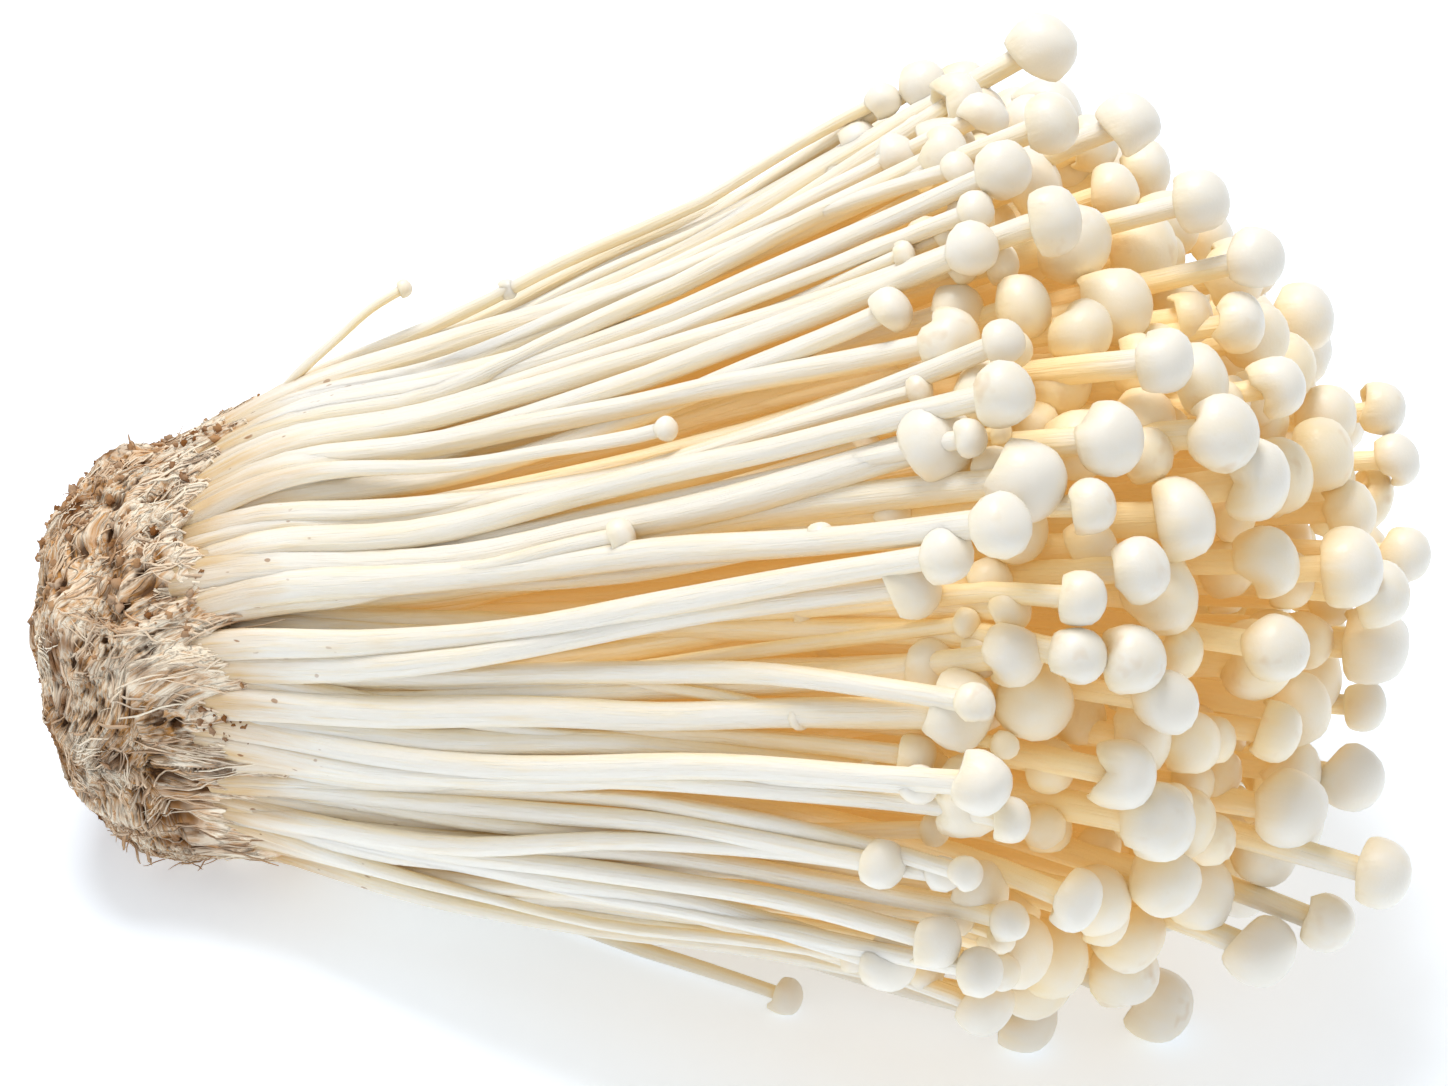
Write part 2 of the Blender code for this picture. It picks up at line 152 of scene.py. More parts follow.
SEED = 5200
GOLDEN_ANGLE = math.radians(137.508)
FRONT_JITTER = (-6.0 * MM, 1.5 * MM)
TABLE_SIDE = (math.radians(55), math.radians(265))
TABLE_SIDE_REACH = 82.0 * MM
SIDE_REACHES_MM = (58, 94)
SIDE_SPREAD = 1.02
LOW_CLOCK = math.radians(205)
CAP_RADIUS = (3.1 * MM, 4.2 * MM)
SIDE_CAP_RADIUS = (1.7 * MM, 3.0 * MM)
STEM_TO_CAP = (0.36, 0.45)
SIDE_STEM_TO_CAP = (0.4, 0.5)
CAP_PACKING = 0.93
ROOM_FOR_CAP = 0.7
SETTLE_ROUNDS = 24
FLOOR_PRESS = 0.84
FLOOR_SAG = 3.0 * MM
STEM_BOW = 2.0 * MM
STEM_KINK = 0.6 * MM

# The ones that only fill the bunch: how far their heads lie behind the front's dome, and their caps.
INNER_BEHIND = (3.0 * MM, 12.0 * MM)
INNER_CAP_RADIUS = (2.2 * MM, 3.3 * MM)
INNER_STEM_TO_CAP = (0.4, 0.52)
RIM_REACHES = (66.0 * MM, 96.0 * MM)
RIM_SPREADS = (0.76, 1.0)
RIM_CAP_RADIUS = (1.2 * MM, 2.4 * MM)
RIM_STEM_TO_CAP = (0.45, 0.6)
RIM_BEHIND = 3 * MM
FILL_ROUNDS = 8

# noise_vector adds offsets of its own to a place, which follow the clock unless they are seeded.
noise.seed_set(SEED)

# Mushrooms that stand out of the bunch. A separate calculation gave their places and sizes, as rounded numbers:
# clock angle round the bunch (90 is up, 180 is -Y),
# reach along it in mm, spread, cap radius in mm, stem radius in mm.
STANDOUTS = (
    (58, 88, 1.06, 3.7, 1.4),
    (58, 76, 1.13, 2.5, 0.9),
    (59, 72, 1.15, 1.9, 0.8),
    (58, 70, 1.07, 2.3, 0.9),
    (60, 68, 1.02, 1.5, 0.7),
    (75, 84, 1.02, 2.6, 1.2),
    (87, 92, 1.01, 3.1, 1.4),
    (81, 99, 0.89, 3.3, 1.3),
    (92, 107, 0.76, 3.3, 1.3),
    (103, 94, 0.98, 3.4, 1.4),
    (96, 113, 0.63, 3.1, 1.3),
    (89, 83, 1.03, 1.9, 1.0),
    (99, 86, 1.03, 2.0, 1.0),
    (101, 79, 1.02, 1.4, 0.8),
    (110, 79, 1.03, 2.4, 1.2),
    (119, 91, 1.01, 2.3, 1.2),
    (119, 106, 0.78, 3.5, 1.5),
    (127, 112, 0.65, 3.9, 1.6),
    (130, 89, 1.03, 1.9, 1.1),
    (130, 102, 0.85, 3.6, 1.6),
    (138, 101, 0.86, 2.7, 1.2),
    (146, 106, 0.77, 3.3, 1.4),
    (149, 101, 0.87, 2.7, 1.2),
    (156, 101, 0.87, 3.0, 1.4),
    (158, 106, 0.77, 3.4, 1.4),
    (160, 92, 1.01, 2.1, 1.2),
    (170, 87, 1.03, 2.0, 1.1),
    (175, 96, 0.97, 2.3, 1.3),
    (175, 106, 0.77, 3.5, 1.4),
    (182, 92, 1.02, 1.8, 1.0),
    (192, 96, 0.96, 2.1, 1.2),
    (202, 110, 0.71, 3.6, 1.6),
    (204, 95, 0.97, 2.0, 1.1),
    (248, 95, 1.06, 3.5, 1.4),
    (254, 108, 1.02, 3.9, 1.4),
    (230, 119, 0.72, 3.8, 1.5),
    (233, 125, 0.65, 3.0, 1.4),
    (225, 130, 0.55, 3.4, 1.5),
    (240, 126, 0.43, 3.5, 1.4),
    (9, 125, 0.21, 2.9, 1.2),
    (351, 127, 0.15, 2.8, 1.2),
    (267, 129, 0.09, 2.9, 1.2),
    (258, 128, 0.23, 2.5, 1.1),
    (262, 126, 0.37, 2.7, 1.2),
    (245, 70, 1.18, 2.0, 0.9),
    (245, 48, 1.03, 1.3, 0.7),
    (134, 54, 1.04, 1.8, 0.9),
    (139, 75, 1.02, 1.5, 0.9),
    (118, 57, 1.03, 1.3, 0.8),
    (61, 37, 1.12, 1.1, 0.7),
    (65, 28, 1.25, 1.0, 0.6),
)

# Two that only the scene has, low in the front, from the same kind of calculation.
LOW_FRONT = (
    (231, 118.5, 0.56, 3.4, 1.4),
    (237, 121, 0.51, 2.9, 1.2),
)


@dataclass
class Mushroom:
    """One mushroom: where its head and its root are, how thick it is, and how its stem strays."""

    number: int
    reach: float
    spread: float
    clock: float
    root_clock: float
    cap: float
    stem: float
    bow: Vector
    kink: Vector
    head: Vector
    stays: bool = False


def mix(a, b, share):
    return a + (b - a) * share


def clamp(value):
    return min(1.0, max(0.0, value))


def smooth(share):
    return share * share * (3 - 2 * share)


def section(reach):
    """Height of the bunch's centre, and its half width and half height, at a reach along it."""
    size = bpy.context.scene.enoki_size
    share = max(0.0, (reach - size.crown_reach) / (size.rim_reach - size.crown_reach))
    opening = mix(share, share * share, FLARE)
    stems_radius = size.crown_radius * STEM_SHARE_AT_CROWN
    half_width = mix(stems_radius, size.rim_half_width, opening)
    half_height = mix(stems_radius, size.rim_half_height, opening)
    lifted = share if share < 1 else mix(1.0, share, 0.6)
    centre_height = mix(size.crown_height, size.rim_half_height + FLOOR_CLEARANCE, lifted)
    centre_height += min(0.0, reach - size.crown_reach) * math.tan(size.block_tilt)
    return centre_height, half_width, half_height


def sway_at(reach):
    size = bpy.context.scene.enoki_size
    return SWAY * max(0.0, (reach - size.crown_reach) / (size.rim_reach - size.crown_reach))


def in_bunch(reach, spread, clock):
    """The point at a reach, spread and clock angle."""
    size = bpy.context.scene.enoki_size
    centre_height, half_width, half_height = section(reach)
    up = half_height * spread * math.sin(clock)
    lean = math.tan(size.block_tilt) * clamp(1 - (reach - size.crown_reach) / LEAN_FADE)
    across = sway_at(reach) + half_width * spread * math.cos(clock)
    return Vector((reach - REST_REACH - lean * up, across, centre_height + up))


def mushroom_at(number, reach, spread, clock, cap, stem):
    """A mushroom whose stem's strays follow from its number alone."""
    rng = random.Random(SEED + number)
    strays = [rng.uniform(-1, 1) for _ in range(5)]
    return Mushroom(
        number=number,
        reach=reach,
        spread=spread,
        clock=clock,
        root_clock=clock + 0.15 * strays[0],
        cap=cap,
        stem=stem,
        bow=Vector((0, strays[1], strays[2])) * STEM_BOW,
        kink=Vector((0, strays[3], strays[4])) * STEM_KINK,
        head=in_bunch(reach, spread, clock),
    )


def shorter_in_corner(spread, clock):
    """How much shorter the mushrooms are towards the far upper corner of the front."""
    towards = max(0.0, math.cos(clock - CORNER_CLOCK))
    return CORNER_SHORT * towards**2 * min(1.0, spread / CORNER_START)


def on_table_side(clock):
    return TABLE_SIDE[0] < clock % (2 * math.pi) < TABLE_SIDE[1]


def front_reach(spread, clock):
    """How far the domed front reaches at a spread and clock angle."""
    size = bpy.context.scene.enoki_size
    reach = size.tip_reach - (size.tip_reach - size.rim_reach) * spread**2
    return reach - RIM_LEAN * spread * math.sin(clock) - shorter_in_corner(spread, clock)


def from_table(table, first):
    return [
        mushroom_at(first + i, reach * MM, spread, math.radians(clock), cap * MM, stem * MM)
        for i, (clock, reach, spread, cap, stem) in enumerate(table)
    ]


def standouts():
    found = from_table(STANDOUTS, 0)
    for mushroom in found:
        mushroom.stays = True
    return found


def front_mushrooms():
    """The heads of the domed front, in a spiral from its tip to its rim."""
    count = bpy.context.scene.enoki_size.front_count
    found = []
    for i in range(count):
        rng = random.Random(2 * SEED + i)
        spread = math.sqrt((i + 0.5) / count) + rng.uniform(-0.03, 0.03)
        clock = i * GOLDEN_ANGLE + rng.uniform(-0.12, 0.12)
        reach = front_reach(spread, clock) + rng.uniform(*FRONT_JITTER)
        cap = rng.uniform(*CAP_RADIUS)
        found.append(mushroom_at(1000 + i, reach, spread, clock, cap, cap * rng.uniform(*STEM_TO_CAP)))
    return found


def side_mushrooms():
    """The shorter, thinner ones round the outside, whose heads lie on the stems.

    On the side where the table's mushrooms stand only the longer of these grow, and low there none."""
    found = []
    for i in range(bpy.context.scene.enoki_size.side_count):
        rng = random.Random(3 * SEED + i)
        share = rng.random() ** 0.6
        cap = mix(*SIDE_CAP_RADIUS, share) * rng.uniform(0.85, 1.15)
        reach = mix(*SIDE_REACHES_MM, share) * MM
        spread = SIDE_SPREAD + 0.5 * cap / section(reach)[1]
        clock = i * GOLDEN_ANGLE + rng.uniform(-0.1, 0.1)
        if on_table_side(clock) and (reach < TABLE_SIDE_REACH or clock % (2 * math.pi) > LOW_CLOCK):
            continue
        reach -= shorter_in_corner(spread, clock)
        found.append(mushroom_at(2000 + i, reach, spread, clock, cap, cap * rng.uniform(*SIDE_STEM_TO_CAP)))
    return found


def inner_mushrooms():
    """Smaller ones in a second spiral, whose heads show in the gaps of the front."""
    count = bpy.context.scene.enoki_size.inner_count
    found = []
    for i in range(count):
        rng = random.Random(5 * SEED + i)
        spread = 0.95 * math.sqrt((i + 0.5) / count) + rng.uniform(-0.03, 0.03)
        clock = (i + 0.5) * GOLDEN_ANGLE + rng.uniform(-0.2, 0.2)
        reach = front_reach(spread, clock) - rng.uniform(*INNER_BEHIND)
        cap = rng.uniform(*INNER_CAP_RADIUS)
        found.append(mushroom_at(3000 + i, reach, spread, clock, cap, cap * rng.uniform(*INNER_STEM_TO_CAP)))
    return found


def rim_mushrooms():
    """Thin ones close under the outside, which leave no gaps between its stems."""
    count = bpy.context.scene.enoki_size.rim_count
    found = []
    for i in range(count):
        rng = random.Random(6 * SEED + i)
        spread = rng.uniform(*RIM_SPREADS)
        clock = 2 * math.pi * (i + rng.uniform(-0.4, 0.4)) / count
        reach = min(mix(*RIM_REACHES, rng.random() ** 0.7), front_reach(spread, clock) - RIM_BEHIND)
        cap = rng.uniform(*RIM_CAP_RADIUS)
        found.append(mushroom_at(4000 + i, reach, spread, clock, cap, cap * rng.uniform(*RIM_STEM_TO_CAP)))
        found[-1].root_clock = clock + rng.uniform(-0.3, 0.3)
    return found


def settle(mushrooms, rounds):
    """Pushes apart caps that would run into each other, past those that stay. Low ones sag to the floor."""
    for _ in range(rounds):
        for a, b in combinations(mushrooms, 2):
            if a.stays and b.stays:
                continue
            apart = b.head - a.head
            short = (a.cap + b.cap) * CAP_PACKING - apart.length
            if short <= 0:
                continue
            push = apart.normalized() * short / 2
            if not a.stays:
                a.head -= push * (2 if b.stays else 1)
            if not b.stays:
                b.head += push * (2 if a.stays else 1)
        for mushroom in mushrooms:
            if mushroom.head.z < mushroom.cap + FLOOR_SAG:
                mushroom.head.z = mushroom.cap * FLOOR_PRESS


def giving_way(mushrooms, others):
    """The mushrooms whose caps wouldn't stand in one of the others."""
    def has_room(mushroom):
        return all((mushroom.head - o.head).length > ROOM_FOR_CAP * (mushroom.cap + o.cap) for o in others)

    return [mushroom for mushroom in mushrooms if has_room(mushroom)]


@functools.cache
def all_mushrooms():
    """Every mushroom: first those that the solids have too, and then those that fill the bunch round them."""
    standing_out = standouts()
    found = standing_out + giving_way(front_mushrooms() + side_mushrooms(), standing_out)
    settle(found, SETTLE_ROUNDS)
    for mushroom in found:
        mushroom.stays = True
    found += giving_way(from_table(LOW_FRONT, 500) + inner_mushrooms() + rim_mushrooms(), found)
    settle(found, FILL_ROUNDS)
    return found


def stem_point(mushroom, share):
    """A point on a stem's centre line, from its root in the crown at 0 to its head at 1."""
    spread = mix(min(ROOT_SPREAD, mushroom.spread), mushroom.spread, smooth(share))
    clock = mix(mushroom.root_clock, mushroom.clock, share)
    crown_reach = bpy.context.scene.enoki_size.crown_reach
    point = in_bunch(mix(crown_reach, mushroom.reach, share), spread, clock)
    settled = mushroom.head - in_bunch(mushroom.reach, mushroom.spread, mushroom.clock)
    point += settled * smooth(share)
    point += mushroom.bow * math.sin(math.pi * share) + mushroom.kink * math.sin(2 * math.pi * share)
    point.z = max(point.z, mushroom.stem)
    return point


def depth_in_bunch(points):
    """How deep points lie under the bunch's outside, from 0 there to 1 at FULL_DEPTH."""
    size = bpy.context.scene.enoki_size
    reach = points[:, 0] + REST_REACH
    share = np.maximum(0.0, (reach - size.crown_reach) / (size.rim_reach - size.crown_reach))
    opening = (1 - FLARE) * share + FLARE * share * share
    stems_radius = size.crown_radius * STEM_SHARE_AT_CROWN
    half_width = stems_radius + (size.rim_half_width - stems_radius) * opening
    half_height = stems_radius + (size.rim_half_height - stems_radius) * opening
    lifted = np.where(share < 1, share, 1 + (share - 1) * 0.6)
    centre = size.crown_height + (size.rim_half_height + FLOOR_CLEARANCE - size.crown_height) * lifted
    across, up = (points[:, 1] - SWAY * share) / half_width, (points[:, 2] - centre) / half_height
    spread, clock = np.hypot(across, up), np.arctan2(up, across)
    corner = np.clip(np.cos(clock - CORNER_CLOCK), 0, None) ** 2 * np.minimum(1, spread / CORNER_START)
    front = size.tip_reach - (size.tip_reach - size.rim_reach) * spread**2
    front -= RIM_LEAN * spread * np.sin(clock) + CORNER_SHORT * corner
    under_side = (1 - spread) * np.minimum(half_width, half_height)
    return np.clip(np.minimum(under_side, front + FRONT_SKIN - reach) / FULL_DEPTH, 0.0, 1.0)



# ---------------------------------------------------------------- modelling helpers


def deselect_all():
    for obj in bpy.context.view_layer.objects:
        obj.select_set(False)


def active(obj):
    deselect_all()
    obj.select_set(True)
    bpy.context.view_layer.objects.active = obj
    return obj


def recalculate_normals(obj):
    active(obj)
    bpy.ops.object.mode_set(mode="EDIT")
    bpy.ops.mesh.select_all(action="SELECT")
    bpy.ops.mesh.normals_make_consistent(inside=False)
    bpy.ops.object.mode_set(mode="OBJECT")


def turned(name, outline, sides):
    """Models a closed turned body round Z: a disc, whose edge is extruded and resized from ring to ring.

    The outline is (height, radius) points from the bottom to the top, where the last ring closes in a point."""
    deselect_all()
    height, radius = outline[0]
    bpy.ops.mesh.primitive_circle_add(vertices=sides, radius=radius, fill_type="TRIFAN", location=(0, 0, height))
    obj = bpy.context.object
    obj.name = name
    bpy.ops.object.transform_apply(location=True, rotation=False, scale=False)
    bpy.ops.object.mode_set(mode="EDIT")
    bpy.ops.mesh.select_mode(type="EDGE")
    bpy.ops.mesh.select_all(action="SELECT")
    bpy.ops.mesh.region_to_loop()
    for next_height, next_radius in outline[1:]:
        next_radius = max(next_radius, 0.01 * radius)
        bpy.ops.mesh.extrude_region_move(TRANSFORM_OT_translate={"value": (0, 0, next_height - height)})
        scale = next_radius / radius
        bpy.ops.transform.resize(value=(scale, scale, 1), center_override=(0, 0, next_height))
        height, radius = next_height, next_radius
    bpy.ops.mesh.merge(type="CENTER")
    bpy.ops.object.mode_set(mode="OBJECT")
    recalculate_normals(obj)
    bpy.ops.object.shade_smooth()
    return obj


def points_of(obj):
    flat = np.empty(len(obj.data.vertices) * 3, np.float32)
    obj.data.vertices.foreach_get("co", flat)
    return flat.reshape(-1, 3).astype(float)


def unit(vectors):
    return vectors / np.maximum(np.linalg.norm(vectors, axis=-1, keepdims=True), 1e-12)


def square_to(along, out):
    """The vectors out of a line turned at right angles to it, and those to its side."""
    out = unit(out - along * (out * along).sum(axis=1)[:, None])
    return out, np.cross(along, out)


def read_along(share, *fields):
    """Points and vectors that are given in equal steps along a line, read at shares of it."""
    steps = np.linspace(0, 1, len(fields[0]))
    return [np.column_stack([np.interp(share, steps, axis) for axis in field.T]) for field in fields]


def set_attributes(mesh, values):
    """Stores arrays on a mesh's points: an array of numbers as a float, an array of triples as a vector."""
    for name, array in values.items():
        kind, field = ("FLOAT", "value") if array.ndim == 1 else ("FLOAT_VECTOR", "vector")
        attribute = mesh.attributes.new(name, kind, "POINT")
        attribute.data.foreach_set(field, array.astype(np.float32).ravel())


def copy_with(template, name, points, values):
    """A copy of the template with a mesh of its own, its points moved, and its attributes set."""
    mesh = template.data.copy()
    mesh.vertices.foreach_set("co", points.astype(np.float32).ravel())
    set_attributes(mesh, values)
    obj = bpy.data.objects.new(name, mesh)
    bpy.context.scene.collection.objects.link(obj)
    return obj


def join(objects, name):
    """Joins objects into one piece of that name, at the origin."""
    active(objects[0])
    for obj in objects:
        obj.select_set(True)
    bpy.ops.object.join()
    piece = bpy.context.object
    piece.name = name
    return piece


def remove(obj):
    bpy.data.objects.remove(obj)


def finish_piece(piece, material, slot, *stands_for):
    """Gives a piece its material and says what it rides on and stands for. The slot argument is not used."""
    piece.data.materials.clear()
    piece.data.materials.append(material)
    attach(piece, BODY)
    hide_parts(*stands_for)

# ---------------------------------------------------------------- materials


class Value:
    """A number worked out in a material. Arithmetic on it adds the Math nodes."""

    def __init__(self, tree, socket):
        self.tree = tree
        self.socket = socket

    def math(self, operation, *values):
        node = self.tree.nodes.new("ShaderNodeMath")
        node.operation = operation
        for place, value in zip(node.inputs, values):
            if isinstance(value, Value):
                self.tree.links.new(value.socket, place)
            else:
                place.default_value = value
        return Value(self.tree, node.outputs[0])

    def __add__(self, other):
        return self.math("ADD", self, other)

    def __sub__(self, other):
        return self.math("SUBTRACT", self, other)

    def __rsub__(self, other):
        return self.math("SUBTRACT", other, self)

    def __mul__(self, other):
        return self.math("MULTIPLY", self, other)

    def __truediv__(self, other):
        return self.math("DIVIDE", self, other)

    def __pow__(self, other):
        return self.math("POWER", self, other)

    __radd__ = __add__
    __rmul__ = __mul__

    def clamped(self):
        return self.math("MINIMUM", self.math("MAXIMUM", self, 0.0), 1.0)


class Material:
    """A node material under construction."""

    def __init__(self, name):
        self.material = bpy.data.materials.new(name)
        self.material.use_nodes = True
        self.tree = self.material.node_tree
        self.shader = self.tree.nodes["Principled BSDF"]

    def node(self, kind, settings=None, inputs=None, output=0):
        """Adds a node, with its settings set first and then its sockets, and gives one of its outputs."""
        node = self.tree.nodes.new(kind)
        for name, value in (settings or {}).items():
            setattr(node, name, value)
        for name, value in (inputs or {}).items():
            self.put(value, node.inputs[name])
        return Value(self.tree, node.outputs[output])

    def put(self, value, socket):
        """Links a value to a socket, or sets the socket to a plain number or colour."""
        if isinstance(value, Value):
            self.tree.links.new(value.socket, socket)
        elif socket.type == "RGBA":
            socket.default_value = (*value, 1.0)
        else:
            socket.default_value = value

    def attribute(self, name, output="Fac"):
        return self.node("ShaderNodeAttribute", {"attribute_name": name}, output=output)

    def separate(self, vector):
        return [self.node("ShaderNodeSeparateXYZ", inputs={0: vector}, output=axis) for axis in range(3)]

    def scaled(self, vector, by):
        return self.node("ShaderNodeVectorMath", {"operation": "MULTIPLY"}, {0: vector, 1: by})

    def noise(self, vector, scale, detail=2.0, roughness=0.5):
        inputs = {"Vector": vector, "Scale": scale, "Detail": detail, "Roughness": roughness}
        return self.node("ShaderNodeTexNoise", inputs=inputs)

    def colour_mix(self, share, a, b):
        return self.node("ShaderNodeMix", {"data_type": "RGBA"}, {0: share, 6: a, 7: b}, output=2)

    def bump(self, height, distance, strength=1.0):
        return self.node("ShaderNodeBump", inputs={"Height": height, "Distance": distance, "Strength": strength})

    def set(self, **inputs):
        """Sets or links the shader's own sockets, named with _ for a space."""
        for name, value in inputs.items():
            self.put(value, self.shader.inputs[name.replace("_", " ")])
        return self.material


@functools.cache
def flesh_material():
    """Satin white flesh: streaked along the stem, stained and specked near the root.

    Deep in the bunch, on the sides of the stems that face into it and round the undersides of the caps it is painted
    yellow-gold as shade, and it glows with painted light for the light that comes through the stems round it."""
    look = bpy.context.scene.enoki_flesh
    m = Material("Mushroom flesh")
    m.material.cycles.emission_sampling = "NONE"  # the glow is too faint to be looked for as a lamp is
    grain = m.attribute("grain", "Vector")
    from_root, cap, tone = m.separate(m.attribute("growth", "Vector"))
    depth, inward, shade_under_cap = m.separate(m.attribute("shelter", "Vector"))
    streaks = m.noise(m.scaled(grain, (1.6, 1.6, 0.09)), 1.0, 3.0, 0.62)
    fine_streaks = m.noise(m.scaled(grain, (5.0, 5.0, 0.16)), 1.0, 2.0, 0.6)
    patches = m.noise(m.scaled(grain, (0.45, 0.45, 0.08)), 1.0, 2.0)
    fine = m.noise(grain, 3.0, 3.0)
    wrinkles = m.noise(m.scaled(grain, (1.0, 1.0, 0.35)), 1.6, 2.0)
    stem = 1 - cap
    deep = depth**0.6
    near_root = (1 - from_root / 20.0).clamped()
    streaky = (streaks - 0.5) * (0.65 + near_root * 1.2) + (fine_streaks - 0.5) * (0.3 + near_root * 0.7)
    # Painted shade: depth in the bunch, the inward sides of the stems, the lower parts of the caps and the stems just
    # under them lean to the shade colours; tone, patches and streaks add the flesh's own variation.
    painted_shade_and_tone = deep * (0.85 - cap * 0.40) + inward * (0.5 - cap * 0.2) + shade_under_cap * 0.35 + (tone - 0.5) * 0.12
    painted_shade_and_tone = (painted_shade_and_tone + (patches - 0.5) * 0.4 + streaky * stem).clamped()
    flesh = m.colour_mix((painted_shade_and_tone * 2.0).clamped(), tuple(look.white), tuple(look.cream_shade_and_streaks))
    flesh = m.colour_mix((painted_shade_and_tone * 1.7 - 0.6).clamped(), flesh, tuple(look.golden_shade))
    stain = near_root**1.4 * 1.8 + (patches - 0.60) * 2.2 * (1 - from_root / 70.0).clamped()
    flesh = m.colour_mix((stain * (0.2 + streaks) * stem).clamped() * 0.8, flesh, tuple(look.stain))
    blemish = ((m.noise(grain, 0.34, 2.0) - 0.60) * 6.0).clamped() * cap * ((tone - 0.45) * 3.0).clamped()
    flesh = m.colour_mix(blemish * 0.4, flesh, tuple(look.stain))
    near_specks = (1.2 - from_root / 24.0).clamped()
    specks = ((m.noise(m.scaled(grain, (1.0, 1.0, 0.5)), 0.9, 1.0) - 0.74) * 30.0).clamped() * near_specks
    flesh = m.colour_mix(specks * stem, flesh, tuple(look.speck))
    lit_through = (deep * 1.7 - 0.12 + inward * 0.4 * stem).clamped() * (1 - cap * 0.5)
    glow = m.colour_mix(lit_through, (0.0, 0.0, 0.0), tuple(look.glow))
    relief = (streaks + fine_streaks * 0.5) * stem + fine * (0.06 + 0.06 * cap) + wrinkles * inward * cap * 0.5
    return m.set(
        Base_Color=flesh,
        Roughness=(0.38 + (fine - 0.5) * 0.2 + near_root * 0.3).clamped(),
        Normal=m.bump(relief, 0.00035, 0.65),
        Subsurface_Weight=0.4,
        Subsurface_Radius=(1.0, 0.94, 0.86),
        Subsurface_Scale=0.8 * MM,
        Specular_IOR_Level=0.4,
        Emission_Color=glow,
        Emission_Strength=1.0,
    )


@functools.cache
def mycelium_material(matted):
    """Pale fibres over tan substrate. The felt attribute holds height, tone and dirt; where the felt lies low it is
    painted tan and then near black, as shade.

    Matted mycelium also has strands and pores, which run along X in the space of its lie attribute."""
    look = bpy.context.scene.enoki_mycelium
    m = Material("Matted mycelium" if matted else "Mycelium fibres")
    place = m.node("ShaderNodeTexCoord", output="Object")
    height, tone, dirt = m.separate(m.attribute("felt", "Vector"))
    patches = m.noise(place, 130.0, 3.0, 0.6)
    fine = m.noise(place, 1500.0, 3.0, 0.6)
    if matted:
        lie = m.attribute("lie", "Vector")
        strands = m.noise(m.scaled(lie, (0.16, 2.6, 2.6)), 1.0, 3.0, 0.65)
        pores = m.node("ShaderNodeTexVoronoi", inputs={"Vector": m.scaled(lie, (0.38, 0.95, 0.95)), "Scale": 1.0})
        pore = ((0.55 - pores + (strands - 0.5) * 0.5) * 11.0).clamped()
        wide = m.node("ShaderNodeTexVoronoi", inputs={"Vector": m.scaled(lie, (0.24, 0.5, 0.5)), "Scale": 1.0})
        pore = (pore + ((0.49 - wide + (strands - 0.5) * 0.45) * 10.0).clamped()).clamped()
        shade = height * 0.75 + (strands - 0.5) * 3.4 + 0.20 - dirt * 0.4
        relief = strands - pore * 1.5
    else:
        pore = ((0.12 - height) * 5.0).clamped()
        shade = height * 0.4 + tone * 0.75
        relief = fine
    # Painted shade: low felt and the side of each strand that faces the block lean to tan; strands, patches and tone
    # add the felt's own variation.
    shade = (shade + (patches - 0.5) * 1.3 + (fine - 0.5) * 0.4).clamped()
    shaded = m.colour_mix(shade, tuple(look.tan), tuple(look.fibre))
    dirty = (dirt + (patches - 0.5) * dirt * 2.0 + (fine - 0.5) * 0.5 * dirt).clamped()
    shaded = m.colour_mix(dirty, shaded, tuple(look.brown))
    # Painted shade: the pores and the lowest felt are darkened to near black.
    shaded = m.colour_mix((pore + (0.30 - height) * 3.0).clamped() * 0.92, shaded, tuple(look.pit))
    return m.set(
        Base_Color=shaded,
        Roughness=0.85,
        Normal=m.bump(relief, 0.0005 if matted else 0.0002, 0.8),
                Specular_IOR_Level=0.2,
    )


# ---------------------------------------------------------------- mushrooms

# One mushroom in cap radii, its stem along Z: the stem's foot, its neck, the cap's underside, its rolled-in lip,
# and its dome. The stem is drawn out to its real length when the mushroom is laid along its line.
STEM_FOOT = -10.0
NECK = -1.0
NECK_RADIUS = 0.4
CAP_OUTLINE = (
    (-0.74, 0.40),
    (-0.50, 0.41),
    (-0.34, 0.45),
    (-0.30, 0.56),
    (-0.39, 0.67),
    (-0.53, 0.73),
    (-0.62, 0.81),
    (-0.57, 0.91),
    (-0.40, 0.975),
    (-0.17, 1.00),
    (0.08, 0.98),
    (0.32, 0.89),
    (0.51, 0.74),
    (0.65, 0.51),
    (0.73, 0.25),
    (0.75, 0.0),
)
CAP_TILT = math.radians(32)
CAP_FULLNESS = 0.98
STEM_WANDER = 1.0 * MM
WANDER_WAVES = 3.5
STEM_SLIMNESS = 0.87
# Where the stems swell out over the roots and along the low side: clock angle, reach, width and height.
SWELLS = (
    (math.radians(97), 14.0 * MM, 12.0 * MM, 3.4 * MM),
    (math.radians(205), 34.0 * MM, 24.0 * MM, 3.0 * MM),
)
ROOT_RADIUS = 1.3 * MM
PRESSED_SHARE = 0.5


def mushroom_template(sides, rings):
    stem = [(mix(STEM_FOOT, NECK, i / rings), NECK_RADIUS) for i in range(rings + 1)]
    template = turned("mushroom_template", stem + list(CAP_OUTLINE), sides)
    return template, points_of(template)


